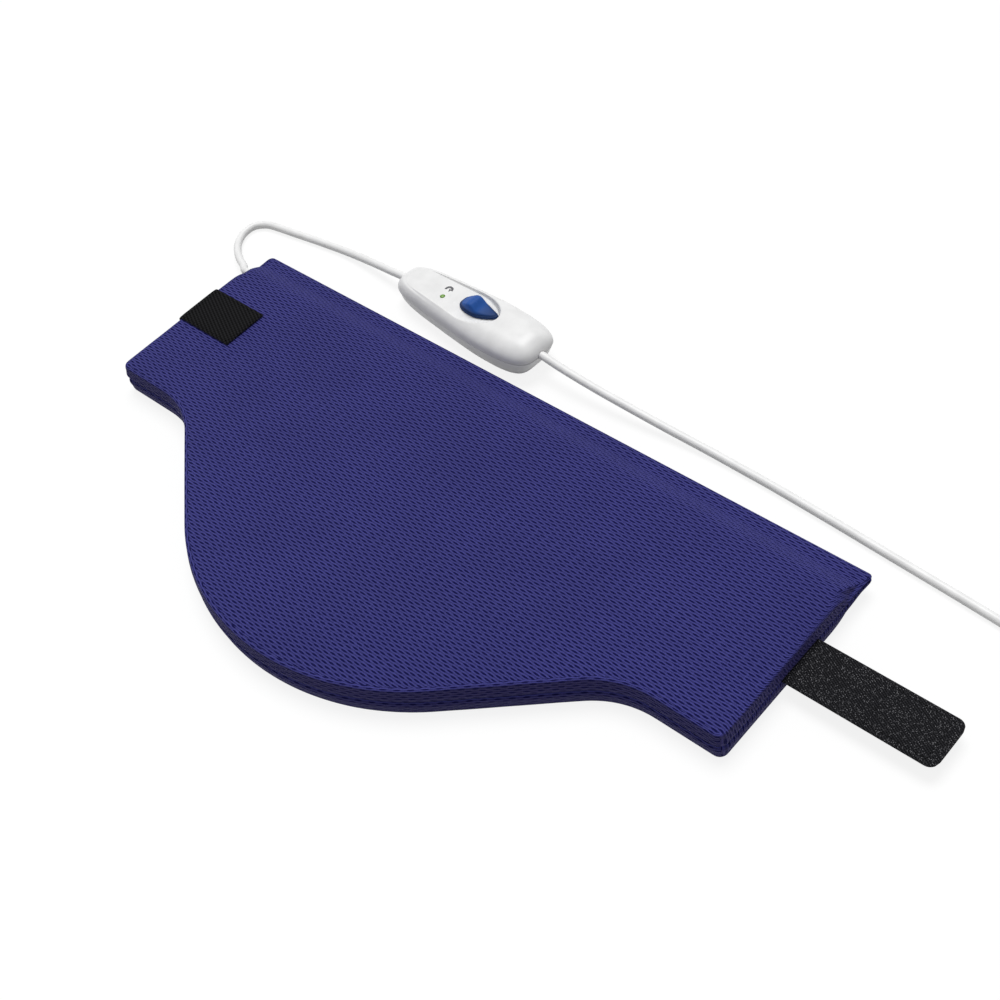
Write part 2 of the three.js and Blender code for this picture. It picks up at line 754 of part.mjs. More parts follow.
function shareAlong(x) {
  return THREE.MathUtils.clamp((x + controlHalfLength) / controlLength, 0, 1);
}

function partingHeight(x) {
  return THREE.MathUtils.lerp(padPartingHeight, mainsPartingHeight, shareAlong(x));
}

function crownHeight(x) {
  return padCrownHeight + (mainsCrownHeight - padCrownHeight) * Math.sin(shareAlong(x) * Math.PI / 2);
}

function controlRing(inset, heightAt, slant = 0) {
  return controlOutline(inset, slant).map((point) => new THREE.Vector3(point.x, point.y, heightAt(point.x)));
}

// The tongue-shaped recess, round at the mains end and narrowing towards the pad's end.
function recessCutter() {
  const outline = [];
  for (let step = 0; step <= 2 * bibSteps; step++) {
    const angle = -Math.PI / 2 + step / (2 * bibSteps) * Math.PI;
    outline.push(new THREE.Vector2(recessEndReach * Math.cos(angle), recessHalfWidth * Math.sin(angle)));
  }
  const narrow = recessHalfWidth - recessNarrowing * (controlHalfLength + overrun) / controlHalfLength;
  outline.push(new THREE.Vector2(-controlHalfLength - overrun, narrow));
  outline.push(new THREE.Vector2(-controlHalfLength - overrun, -narrow));
  const depth = mainsCrownHeight + overrun - recessFloor;
  return new THREE.ExtrudeGeometry(new THREE.Shape(outline), { depth, bevelEnabled: false })
    .translate(0, 0, recessFloor);
}

const stemRangeHalf = (stemLength + sliderTravel) / 2 + 2 * pieceGap;
const stemRangeMiddleX = sliderCentreX - sliderTravel / 2;
const stemSlotCutter = boxBetween(
  new THREE.Vector3(stemRangeMiddleX - stemRangeHalf, -stemWidth / 2 - pieceGap, ceilingHeight - overrun),
  new THREE.Vector3(stemRangeMiddleX + stemRangeHalf, stemWidth / 2 + pieceGap, recessFloor + overrun),
);
const lensCutter = rodAlongZ(
  lampPlace.x, lampPlace.y, ceilingHeight - overrun, mainsCrownHeight, lensDiameter + 2 * pieceGap,
);

// Round notches for the two cords, half in each shell, and the room inside for the cord behind each.
const cordNotchDiameter = cordDiameter + 2 * pieceGap;
const cordRoomStart = controlHalfLength - cordInsideControl;
const cordRoomEnd = controlHalfLength + overrun;
const cordNotches = [
  rodAlongX(-cordRoomEnd, -cordRoomStart, 0, padPartingHeight, cordNotchDiameter),
  rodAlongX(cordRoomStart, cordRoomEnd, 0, mainsPartingHeight, cordNotchDiameter),
];

// Room under the crown for the two cord grips, which stand higher than the ceiling beside them.
const gripPlaces = [-controlHalfLength + gripFromEnd, controlHalfLength - gripFromEnd];
const cordAxisHeight = (x) => (x < 0 ? padPartingHeight : mainsPartingHeight);
const gripHigh = (x) => cordAxisHeight(x) + cordDiameter / 2 + pieceGap + gripCrown;
const gripRooms = gripPlaces.map((x) => boxBetween(
  new THREE.Vector3(
    x - gripLength / 2 - gripRoomMargin, -gripWidth / 2 - gripRoomMargin, partingHeight(x) - overrun,
  ),
  new THREE.Vector3(
    x + gripLength / 2 + gripRoomMargin, gripWidth / 2 + gripRoomMargin, gripHigh(x) + gripRoomMargin,
  ),
));

function upperShell() {
  const outer = [];
  for (let step = 0; step <= roundSteps + 2; step++) {
    const angle = step / (roundSteps + 2) * Math.PI / 2;
    const climb = Math.sin(angle);
    outer.push(controlRing(crownRoll * (1 - Math.cos(angle)), (x) => THREE.MathUtils.lerp(
      partingHeight(x) + seamGap / 2, crownHeight(x), climb,
    )));
  }
  const ledge = (x) => partingHeight(x) + jointTongueHeight + pieceGap;
  const ledgeInset = shellWall + 2 * pieceGap + jointTongueWidth;
  const inner = [
    controlRing(shellWall, (x) => partingHeight(x) + seamGap / 2),
    controlRing(shellWall, ledge),
    controlRing(ledgeInset, (x) => ledge(x) + seamGap),
    controlRing(ledgeInset + shellWall / 2, () => ceilingHeight - pieceGap),
    controlRing(ledgeInset + 1.5 * shellWall, () => ceilingHeight),
  ];
  const shell = bodyThroughRings([...outer.reverse(), ...inner]);
  const bosses = screwPlaces.map((place) => rodAlongZ(
    place.x, place.y, partingHeight(place.x) + pieceGap, ceilingHeight + shellWall / 2, bossDiameter,
  ));
  const pilots = screwPlaces.map((place) => rodAlongZ(
    place.x, place.y, partingHeight(place.x) - overrun, ceilingHeight - shellWall / 2,
    screwShaftDiameter + 2 * pieceGap, coilStepsPerTurn / 2,
  ));
  return cut(join(shell, bosses), [
    recessCutter(), stemSlotCutter, lensCutter, ...gripRooms, ...cordNotches, ...pilots,
  ]);
}
addPart('control_top_shell', upperShell(), whitePlasticLook, control);

const boardY = boardWidth / 2;
const boardPostPlaces = [
  [boardStartX + boardPostMargin, -boardY + boardPostMargin],
  [boardStartX + boardPostMargin, boardY - boardPostMargin],
  [boardEndX - boardPostMargin, -boardY + boardPostMargin],
  [boardEndX - boardPostMargin, boardY - boardPostMargin],
];
const gripPostWidth = (gripWidth - cordDiameter) / 2 - pieceGap;

function lowerShell() {
  const rim = (x) => partingHeight(x) - seamGap / 2;
  const outer = [
    controlRing(lowerShellInset, rim),
    controlRing(
      lowerShellInset + lowerShellDraft / 2,
      (x) => Math.max(partingHeight(x) / 2, lowerEdgeRadius),
      mainsEndSlant / 2,
    ),
  ];
  for (let step = 0; step <= roundSteps; step++) {
    const angle = step / roundSteps * Math.PI / 2;
    outer.push(controlRing(
      lowerShellInset + lowerShellDraft + lowerEdgeRadius * (1 - Math.cos(angle)),
      () => lowerEdgeRadius * 0.8 * (1 - Math.sin(angle)),
      mainsEndSlant,
    ));
  }
  const tongueOuter = shellWall + pieceGap;
  const tongueInner = tongueOuter + jointTongueWidth;
  const inner = [
    controlRing(lowerShellInset + lowerShellDraft + lowerEdgeRadius, () => shellWall, mainsEndSlant),
    controlRing(tongueInner + lowerShellDraft, () => shellWall + lowerEdgeRadius / 2, mainsEndSlant),
    controlRing(tongueInner, (x) => partingHeight(x) + jointTongueHeight),
    controlRing(tongueOuter, (x) => partingHeight(x) + jointTongueHeight),
    controlRing(tongueOuter, rim),
  ];
  const shell = bodyThroughRings([...inner, ...outer]);
  const bosses = screwPlaces.map((place) => rodAlongZ(
    place.x, place.y, shellWall / 2, partingHeight(place.x) - seamGap / 2, bossDiameter,
  ));
  const posts = boardPostPlaces.map(([x, y]) => rodAlongZ(
    x, y, shellWall / 2, boardUnderside - pieceGap, boardPostDiameter, coilStepsPerTurn / 2,
  ));
  const gripPosts = gripPlaces.flatMap((x) => [-1, 1].map((side) => {
    const middleY = side * (gripWidth - gripPostWidth) / 2;
    return boxBetween(
      new THREE.Vector3(x - gripLength / 2, middleY - gripPostWidth / 2, shellWall / 2),
      new THREE.Vector3(x + gripLength / 2, middleY + gripPostWidth / 2, partingHeight(x) - pieceGap),
    );
  }));
  const shafts = screwPlaces.map((place) => rodAlongZ(
    place.x, place.y, -overrun, partingHeight(place.x) + overrun, screwShaftDiameter + 4 * pieceGap,
  ));
  const seats = screwPlaces.map((place) => rodAlongZ(
    place.x, place.y, -overrun, screwSeatHeight, screwHeadDiameter + 2 * pieceGap,
  ));
  return cut(join(shell, [...bosses, ...posts, ...gripPosts]), [...shafts, ...seats, ...cordNotches]);
}
addPart('control_bottom_shell', lowerShell(), whitePlasticLook, control);

// Slider: a drop-shaped cap with a thumb hump across it, on a stem that straddles the switch lever.
const sliderUnderside = recessFloor + pieceGap;
const boardTop = boardUnderside + boardThickness;
const switchTop = boardTop + pieceGap + switchHeight;
const stemLow = switchTop + pieceGap;
const leverLow = switchTop - switchSlotDepth + pieceGap;
const leverHigh = leverLow + leverHeight;

function sliderTopHeight(x, y) {
  const along = (x - sliderCentreX) / sliderHalfLength;
  const across = (y - sliderOffsetY) / sliderHalfWidth;
  const dome = sliderDome * Math.max(1 - along * along - across * across, 0);
  const fromCrest = x - sliderCentreX + sliderHumpOffset;
  const spread = fromCrest < 0 ? sliderPadSpread : sliderMainsSpread;
  const fall = 1 / (1 + Math.abs(fromCrest / spread) ** 2.6);
  const hump = sliderHumpHeight * fall * Math.max(1 - across ** 6, 0);
  return sliderUnderside + sliderEdgeHeight + dome + hump;
}

function sliderButton() {
  const ring = (share, heightAt) => {
    const points = [];
    for (let step = 0; step < 2 * bibSteps; step++) {
      const angle = step / (2 * bibSteps) * 2 * Math.PI;
      const narrowing = sliderTipNarrowingShare * THREE.MathUtils.smoothstep(Math.cos(angle), -0.2, 1);
      const x = sliderCentreX + share * sliderHalfLength * Math.cos(angle);
      const y = sliderOffsetY + share * sliderHalfWidth * (1 - narrowing) * Math.sin(angle);
      points.push(new THREE.Vector3(x, y, heightAt(x, y)));
    }
    return points;
  };
  const ringShares = [0.08, 0.25, 0.42, 0.58, 0.74, 0.88, 0.97];
  const top = ringShares.map((share) => ring(share, sliderTopHeight));
  const rimLow = ring(1, () => sliderUnderside + sliderEdgeHeight * 0.7);
  const foot = ring(1, () => sliderUnderside);
  const cap = bodyThroughRings([...top, rimLow, foot]);
  const stem = boxBetween(
    new THREE.Vector3(sliderCentreX - stemLength / 2, -stemWidth / 2, stemLow),
    new THREE.Vector3(sliderCentreX + stemLength / 2, stemWidth / 2, sliderUnderside + sliderEdgeHeight / 2),
  );
  const forkHalfLength = leverLength / 2 + pieceGap;
  const forkHalfWidth = leverWidth / 2 + pieceGap;
  const fork = boxBetween(
    new THREE.Vector3(sliderCentreX - forkHalfLength, -forkHalfWidth, stemLow - overrun),
    new THREE.Vector3(sliderCentreX + forkHalfLength, forkHalfWidth, leverHigh + pieceGap),
  );
  return cut(join(cap, [stem]), [fork]);
}
addPart('slider_button', sliderButton(), bluePlasticLook, control);
addPart('switch_lever', boxBetween(
  new THREE.Vector3(sliderCentreX - leverLength / 2, -leverWidth / 2, leverLow),
  new THREE.Vector3(sliderCentreX + leverLength / 2, leverWidth / 2, leverHigh),
), blackPlasticLook, control);

const leverRangeHalf = (leverLength + sliderTravel) / 2 + 2 * pieceGap;
const switchBody = boxBetween(
  new THREE.Vector3(stemRangeMiddleX - switchLength / 2, -switchWidth / 2, boardTop + pieceGap),
  new THREE.Vector3(stemRangeMiddleX + switchLength / 2, switchWidth / 2, switchTop),
);
const switchSlotHalfWidth = leverWidth / 2 + pieceGap;
const switchSlot = boxBetween(
  new THREE.Vector3(stemRangeMiddleX - leverRangeHalf, -switchSlotHalfWidth, switchTop - switchSlotDepth),
  new THREE.Vector3(stemRangeMiddleX + leverRangeHalf, switchSlotHalfWidth, switchTop + overrun),
);
addPart('slide_switch', cut(switchBody, [switchSlot]), steelLook, control);

function controlBoard() {
  const corner = boardPostDiameter / 2;
  const outline = new THREE.Shape();
  outline.absarc(boardStartX + corner, -boardY + corner, corner, Math.PI, 1.5 * Math.PI, false);
  outline.absarc(boardEndX - corner, -boardY + corner, corner, 1.5 * Math.PI, 2 * Math.PI, false);
  outline.absarc(boardEndX - corner, boardY - corner, corner, 0, Math.PI / 2, false);
  outline.absarc(boardStartX + corner, boardY - corner, corner, Math.PI / 2, Math.PI, false);
  return new THREE.ExtrudeGeometry(outline, {
    depth: boardThickness, bevelEnabled: false, curveSegments: cornerSteps,
  }).translate(0, 0, boardUnderside);
}
addPart('control_board', controlBoard(), boardLook, control);

const lampLow = boardTop + pieceGap;
const lampHigh = lampLow + lampHeight;
addPart('indicator_lamp', boxBetween(
  new THREE.Vector3(lampPlace.x - lampLength / 2, lampPlace.y - lampWidth / 2, lampLow),
  new THREE.Vector3(lampPlace.x + lampLength / 2, lampPlace.y + lampWidth / 2, lampHigh),
), whitePlasticLook, control);

// The lens is a light guide that stands on the lamp and ends just above the recess floor.
function indicatorLens() {
  const radius = lensDiameter / 2;
  const low = lampHigh + pieceGap;
  const flangeHigh = ceilingHeight - pieceGap;
  const high = recessFloor + pieceGap;
  return turnedAlongZ([
    [low, 0], [low, radius], [flangeHigh - lensFlangeThickness, radius],
    [flangeHigh - lensFlangeThickness, radius + lensFlange], [flangeHigh, radius + lensFlange],
    [flangeHigh, radius], [high - pieceGap, radius], [high, radius * 0.7], [high, 0],
  ]).translate(lampPlace.x, lampPlace.y, 0);
}
addPart('indicator_lens', indicatorLens(), greenLensLook, control);

const powerBlock = new THREE.BoxGeometry(powerBlockSize.x, powerBlockSize.y, powerBlockSize.z);
powerBlock.translate(powerBlockX, 0, boardTop + pieceGap + powerBlockSize.z / 2);
addPart('power_block', powerBlock, blackPlasticLook, control);
const fuseRadius = fuseDiameter / 2;
const fuse = turnedAlongX([
  [-fuseLength / 2, 0], [-fuseLength / 2, fuseRadius], [-fuseLength / 4, fuseRadius],
  [-fuseLength / 4, fuseRadius * 0.86], [fuseLength / 4, fuseRadius * 0.86], [fuseLength / 4, fuseRadius],
  [fuseLength / 2, fuseRadius], [fuseLength / 2, 0],
], smallTurnedSides).rotateZ(Math.PI / 2);
addPart('board_fuse', fuse.translate(fuseX, 0, boardTop + pieceGap + fuseRadius), steelLook, control);

// Screws from below, each with its head in a seat of the lower shell and its end in an upper boss.
function housingScrew(place) {
  const head = screwHeadDiameter / 2;
  const shaft = screwShaftDiameter / 2;
  const headHigh = screwSeatHeight - pieceGap;
  const tip = partingHeight(place.x) + screwReach;
  return turnedAlongZ([
    [headHigh - screwHeadHeight, 0], [headHigh - screwHeadHeight, head * 0.8],
    [headHigh - screwHeadHeight / 2, head], [headHigh, head], [headHigh, shaft],
    [tip - shaft, shaft], [tip, 0],
  ], smallTurnedSides).translate(place.x, place.y, 0);
}
screwPlaces.forEach((place, number) => {
  addPart(`control_screw_${number + 1}`, housingScrew(place), steelLook, control);
});

// Cord grips: saddles that hold each cord down on a pair of posts in the lower shell.
function cordGrip(x) {
  const saddle = boxBetween(
    new THREE.Vector3(x - gripLength / 2, -gripWidth / 2, partingHeight(x)),
    new THREE.Vector3(x + gripLength / 2, gripWidth / 2, gripHigh(x)),
  );
  const groove = rodAlongX(x - gripLength, x + gripLength, 0, cordAxisHeight(x), cordNotchDiameter);
  return cut(saddle, [groove]);
}
addPart('lead_cord_grip', cordGrip(gripPlaces[0]), blackPlasticLook, control);
addPart('mains_cord_grip', cordGrip(gripPlaces[1]), blackPlasticLook, control);

// Cords

const coilCentre = new THREE.Vector2(padLength / 2 + coilFromEnd, hemY + coilFromHem);
const plugAxisY = coilCentre.y + plugFromCoil;

// The short length inside the pad, from the joint to the bushing.
const inletStartX = jointPlace.x - jointCoverLength / 2 - pieceGap;
const inletEndX = bushingOuterX;
const inletSag = cordDiameter / 8;
const inletRoute = [
  [inletStartX, jointPlace.y, jointMiddleZ],
  [inletStartX - 2.5 * cordDiameter, jointPlace.y + cordDiameter / 2, jointMiddleZ - inletSag],
  [bushingInnerX + 2.4 * cordDiameter, bushingPlaceY - cordDiameter / 3, midHeight + inletSag],
  [bushingInnerX + cordDiameter, bushingPlaceY, midHeight],
  [bushingInnerX, bushingPlaceY, midHeight],
  [inletEndX, bushingPlaceY, midHeight],
].map(([x, y, z]) => new THREE.Vector3(x, y, z));
const towardsPadEnd = new THREE.Vector3(-1, 0, 0);
addPart('inlet_cord', tubeAlong(
  cordStations(inletRoute, towardsPadEnd, towardsPadEnd, cordDiameter, 1.6), cordDiameter, cordSides,
), cordLook);

// The lead cord's route between the bushing and the control: places from the corner where the pad's end
// meets its hem, with heights over the floor.
const leadRoutePlaces = [
  [-15.6, -16.4, 9.6], [-26.5, -11.2, 7.2], [-37, -4.6, 4.9], [-45.6, 3.6, 3.3], [-50, 13, 2.9],
  [-49.2, 22.4, 2.9], [-41.8, 28.6, 2.9], [-31, 31, 2.9], [-19.6, 32.6, 2.9], [-4.9, 34.8, 2.9],
  [10.5, 36.8, 3], [25.4, 38.4, 3.3], [42.3, 38.9, 4.6], [60.1, 38.3, 6.8], [78.1, 37.2, 9.2],
];
const leadEnd = controlPlace(-controlHalfLength + cordInsideControl, 0, padPartingHeight);
const leadEntry = controlPlace(-controlHalfLength - pieceGap, 0, padPartingHeight);
const leadRoute = [
  new THREE.Vector3(bushingOuterX - pieceGap, bushingPlaceY, midHeight),
  ...leadRoutePlaces.map(([x, y, z]) => new THREE.Vector3(x - padLength / 2, y + hemY, z)),
  leadEntry,
  leadEnd,
];
const alongControl = new THREE.Vector3(Math.cos(controlTurn), Math.sin(controlTurn), 0);
addPart('lead_cord', tubeAlong(
  cordStations(leadRoute, towardsPadEnd, alongControl, cordDiameter), cordDiameter, cordSides,
), cordLook);

// The coil: the cord spirals in along the lower layer, climbs where it turns, and spirals out above.
function coilStations() {
  const steps = Math.round(coilTurns * coilStepsPerTurn);
  const sweep = coilTurns * 2 * Math.PI;
  const softening = Math.PI / 4;
  const stations = [];
  for (let step = 0; step <= steps; step++) {
    const fromMiddle = (step / steps - 0.5) * sweep;
    const angle = step / steps * sweep - Math.PI / 2;
    const wound = Math.hypot(fromMiddle, softening) - softening;
    const radius = coilInnerRadius + coilPitch * wound / (2 * Math.PI);
    const climb = THREE.MathUtils.smoothstep(fromMiddle, -Math.PI / 2, Math.PI / 2);
    stations.push(new THREE.Vector3(
      coilCentre.x + radius * Math.cos(angle),
      coilCentre.y + radius * Math.sin(angle),
      coilLift + cordDiameter / 2 + coilLayerRise * climb,
    ));
  }
  const first = stations[0];
  const last = stations[stations.length - 1];
  stations.unshift(first.clone().add(new THREE.Vector3(-cordDiameter, 0, 0)));
  stations.push(last.clone().add(new THREE.Vector3(0, cordDiameter, 0)));
  return stations;
}

// The least clear distance between any two places on the coil that lie over half a turn apart.
function leastCoilGap(stations) {
  const samples = [];
  for (let i = 0; i + 1 < stations.length; i++) {
    samples.push(stations[i], stations[i].clone().lerp(stations[i + 1], 0.5));
  }
  let least = Infinity;
  for (let i = 0; i < samples.length; i++) {
    for (let j = i + coilStepsPerTurn; j < samples.length; j++) {
      least = Math.min(least, samples[i].distanceTo(samples[j]));
    }
  }
  return least - cordDiameter;
}
const coilPath = coilStations();
console.log(`least gap between the coil's turns: ${leastCoilGap(coilPath).toFixed(2)} mm`);
addPart('mains_cord_coil', tubeAlong(coilPath, cordDiameter, coilSides), cordLook);

// The mains cord's route between the control and the coil: the share of the way along X, the distance
// from the hem and the height.
const mainsRouteShares = [0.04, 0.11, 0.18, 0.25, 0.33, 0.39, 0.455, 0.575, 0.665, 0.765, 0.845, 0.91];
const mainsRoutePlaces = [
  [26.3, 14.4], [25.8, 12.2], [26.4, 9.6], [27.6, 6.6], [28.9, 3.9], [28.8, 2.9], [28, 2.8], [25.3, 2.8],
  [22.9, 2.8], [20.3, 2.8], [18, 2.8], [15.8, 3],
];
const mainsStart = controlPlace(controlHalfLength - cordInsideControl, 0, mainsPartingHeight);
const mainsExit = controlPlace(controlHalfLength + pieceGap, 0, mainsPartingHeight);
const coilStart = coilPath[0].clone().add(new THREE.Vector3(-pieceGap, 0, 0));
const mainsRoute = [
  mainsStart,
  mainsExit,
  ...mainsRoutePlaces.map(([fromHem, z], number) => new THREE.Vector3(
    THREE.MathUtils.lerp(mainsExit.x, coilStart.x, mainsRouteShares[number]), hemY + fromHem, z,
  )),
  coilStart,
];
const towardsStrapEnd = new THREE.Vector3(1, 0, 0);
addPart('mains_cord', tubeAlong(
  cordStations(mainsRoute, alongControl, towardsStrapEnd, cordDiameter, 2.6), cordDiameter, cordSides,
), cordLook);

// The tail from the coil's outer turn round to the plug's strain relief, which points back along -X.
const coilEnd = coilPath[coilPath.length - 1].clone().add(new THREE.Vector3(0, pieceGap, 0));
const plugAxisZ = plugHeight / 2;
const reliefTipX = coilCentre.x - tailReach;
const tailRoutePlaces = [
  [41.4, 22, 9], [35, 40, 6], [24, 53, 3.8], [10, 60.4, 3.2], [-6, 62.4, 4.6],
];
const tailRoute = [
  coilEnd,
  ...tailRoutePlaces.map(([x, y, z]) => new THREE.Vector3(coilCentre.x + x, coilCentre.y + y, z)),
  new THREE.Vector3(reliefTipX + pieceGap, plugAxisY, plugAxisZ),
];
const towardsHem = new THREE.Vector3(0, 1, 0);
addPart('mains_cord_tail', tubeAlong(
  cordStations(tailRoute, towardsHem, towardsPadEnd, cordDiameter, 1.8), cordDiameter, cordSides,
), cordLook);

// The tie: a flat band round the bundle of turns, square to them.
function coilTie() {
  const sampleRadii = coilPath.map((point) => Math.hypot(point.x - coilCentre.x, point.y - coilCentre.y));
  const clear = cordDiameter / 2 + pieceGap;
  const clearRadius = Math.min(...sampleRadii) - clear;
  const innerReach = Math.sqrt(clearRadius * clearRadius - tieWidth * tieWidth) - pieceGap;
  const outerReach = Math.max(...sampleRadii) + clear;
  const lowZ = tieThickness;
  const highZ = coilLift + coilLayerRise + cordDiameter + pieceGap;
  const corner = cordDiameter / 2;
  const loop = (target, grow, turnRadius) => {
    const [left, right] = [innerReach - grow, outerReach + grow];
    const [low, high] = [lowZ - grow, highZ + grow];
    target.absarc(left + turnRadius, low + turnRadius, turnRadius, Math.PI, 1.5 * Math.PI, false);
    target.absarc(right - turnRadius, low + turnRadius, turnRadius, 1.5 * Math.PI, 2 * Math.PI, false);
    target.absarc(right - turnRadius, high - turnRadius, turnRadius, 0, Math.PI / 2, false);
    target.absarc(left + turnRadius, high - turnRadius, turnRadius, Math.PI / 2, Math.PI, false);
    return target;
  };
  const band = loop(new THREE.Shape(), tieThickness, corner / 2 + tieThickness);
  band.holes.push(loop(new THREE.Path(), 0, corner / 2));
  const tie = new THREE.ExtrudeGeometry(band, {
    depth: tieWidth, bevelEnabled: false, curveSegments: cornerSteps,
  });
  tie.translate(0, 0, -tieWidth / 2).rotateX(Math.PI / 2).rotateZ(tieAngle);
  return tie.translate(coilCentre.x, coilCentre.y, 0);
}
addPart('coil_tie', coilTie(), tapeLook);

// Plug, built along +X from its cord end and then turned to face -X.
const plug = new THREE.Group();
plug.position.set(reliefTipX, plugAxisY, plugAxisZ);
plug.rotation.z = Math.PI;
heatingPad.add(plug);

function strainRelief() {
  const bodyEnd = reliefLength - pieceGap;
  const radiusAt = (share) => THREE.MathUtils.lerp(reliefTipDiameter, reliefRootDiameter, share) / 2;
  const profile = [[0, 0], [0, radiusAt(0)]];
  for (let rib = 0; rib < reliefRibs; rib++) {
    const [start, fall, rise, end] = reliefGrooveShares.map((share) => (rib + share) / (reliefRibs + 1));
    profile.push([start * bodyEnd, radiusAt(start)], [fall * bodyEnd, radiusAt(fall) - reliefGroove]);
    profile.push([rise * bodyEnd, radiusAt(rise) - reliefGroove], [end * bodyEnd, radiusAt(end)]);
  }
  profile.push([bodyEnd, radiusAt(1)], [bodyEnd, 0]);
  return turnedAlongX(profile, reliefSides);
}
addPart('plug_strain_relief', strainRelief(), whitePlasticLook, plug);

// The plug's body: rounded flat sections that widen from the cord's end to the flat front.
function plugBody() {
  const section = (along, width, height) => {
    const corner = Math.min(plugEdgeRadius, height / 2, width / 2) * 0.9;
    const points = [];
    for (const [sideY, sideZ, from] of [[1, -1, -0.5], [1, 1, 0], [-1, 1, 0.5], [-1, -1, 1]]) {
      for (let step = 0; step <= cornerSteps; step++) {
        const angle = (from + step / cornerSteps / 2) * Math.PI;
        points.push(new THREE.Vector3(
          sideY * (width / 2 - corner) + corner * Math.cos(angle),
          sideZ * (height / 2 - corner) + corner * Math.sin(angle),
          along,
        ));
      }
    }
    return points;
  };
  const shapeShares = [
    [0, -0.1, 0.78], [0.04, 0, 0.86], [0.16, 0.09, 0.94], [0.34, 0.26, 1], [0.5, 0.47, 1],
    [0.62, 0.76, 1], [0.76, 0.93, 1], [0.96, 1, 1], [1, 0.93, 0.94],
  ];
  const rings = shapeShares.map(([along, widened, height]) => section(
    along * plugLength,
    THREE.MathUtils.lerp(plugRearWidth, plugWidth, widened),
    plugHeight * height,
  ));
  const body = bodyThroughRings(rings);
  body.applyMatrix4(new THREE.Matrix4().set(0, 0, 1, 0, 1, 0, 0, 0, 0, 1, 0, 0, 0, 0, 0, 1));
  return body.translate(reliefLength, 0, 0);
}
const pinSockets = [-1, 1].map((side) => rodAlongX(
  reliefLength + plugLength - pinRoot - pieceGap, reliefLength + plugLength + overrun,
  side * pinSpacing / 2, 0, pinDiameter + 2 * pieceGap,
));
addPart('plug_body', cut(plugBody(), pinSockets), whitePlasticLook, plug);

function plugPin(side) {
  const front = reliefLength + plugLength;
  const [sleeve, metal] = [pinSleeveDiameter / 2, pinDiameter / 2];
  return turnedAlongX([
    [front - pinRoot, 0], [front - pinRoot, metal], [front, metal], [front, sleeve],
    [front + pinSleeveLength, sleeve], [front + pinSleeveLength, metal],
    [front + pinLength - metal / 2, metal], [front + pinLength, metal / 2], [front + pinLength, 0],
  ], smallTurnedSides).translate(0, side * pinSpacing / 2, 0);
}
addPart('plug_pin_left', plugPin(1), brassLook, plug);
addPart('plug_pin_right', plugPin(-1), brassLook, plug);

export default heatingPad;
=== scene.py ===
import json
import math

import bpy
import numpy as np
from bpy.props import FloatProperty, FloatVectorProperty, PointerProperty
from mathutils import Matrix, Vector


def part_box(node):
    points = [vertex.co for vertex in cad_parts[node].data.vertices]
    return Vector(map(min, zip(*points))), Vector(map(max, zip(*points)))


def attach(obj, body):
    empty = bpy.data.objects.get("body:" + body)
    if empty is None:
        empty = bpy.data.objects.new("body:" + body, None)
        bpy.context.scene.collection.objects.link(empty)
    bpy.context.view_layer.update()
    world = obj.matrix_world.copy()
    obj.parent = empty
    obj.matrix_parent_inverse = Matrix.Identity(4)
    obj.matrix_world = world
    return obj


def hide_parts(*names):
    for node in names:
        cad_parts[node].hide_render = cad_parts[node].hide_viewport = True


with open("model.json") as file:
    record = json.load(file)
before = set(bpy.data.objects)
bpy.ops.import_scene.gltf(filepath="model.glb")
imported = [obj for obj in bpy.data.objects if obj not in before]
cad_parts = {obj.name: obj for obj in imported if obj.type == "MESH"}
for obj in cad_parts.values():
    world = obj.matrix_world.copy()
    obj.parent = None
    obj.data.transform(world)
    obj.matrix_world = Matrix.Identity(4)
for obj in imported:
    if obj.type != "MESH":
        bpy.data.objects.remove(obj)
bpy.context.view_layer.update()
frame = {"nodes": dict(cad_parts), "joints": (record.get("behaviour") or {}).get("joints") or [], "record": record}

bl_info = {
    "name": "Neck Heating Pad",
    "version": (1, 0, 0),
    "blender": (4, 5, 0),
    "location": "View3D > Sidebar > Heating Pad",
    "description": "Fabric, mouldings, cords and stage of a neck heating pad with a hand control",
    "category": "Object",
}

MM = 0.001


def box_of(node):
    """A node's lowest and highest corners in millimetres."""
    return tuple(np.array(corner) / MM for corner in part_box(node))


# Places that the frame gives: the control's middle and turn, the tape, the plug and the bushing.
SLIDE = next(joint for joint in frame["joints"] if joint["name"] == "power_slide")
CONTROL_TURN = math.atan2(-SLIDE["axis"][1], -SLIDE["axis"][0])
CONTROL_MOUNT = next(mount for mount in frame["record"]["mounts"] if mount["name"] == "control_underside")
CONTROL_CENTRE = np.array(CONTROL_MOUNT["pos_m"]) / MM
STRAP_LOW, STRAP_HIGH = box_of("strap_band")
ROOT_LOW, ROOT_HIGH = box_of("strap_root")
HOOK_LOW, HOOK_HIGH = box_of("hook_tab")
PATCH_LOW, PATCH_HIGH = box_of("loop_patch")
PLUG_LOW, PLUG_HIGH = box_of("plug_body")
RELIEF_LOW, RELIEF_HIGH = box_of("plug_strain_relief")
BUSHING_LOW, BUSHING_HIGH = box_of("cord_bushing")

# Values that the user may change


def length(name, description, default):
    return FloatProperty(name=name, description=description, default=default * MM, unit="LENGTH",
                         precision=5)


def colour(name, description, default):
    return FloatVectorProperty(name=name, description=description, default=default, size=3,
                               subtype="COLOR", min=0.0, max=1.0)


def share(name, description, default):
    return FloatProperty(name=name, description=description, default=default, subtype="FACTOR")


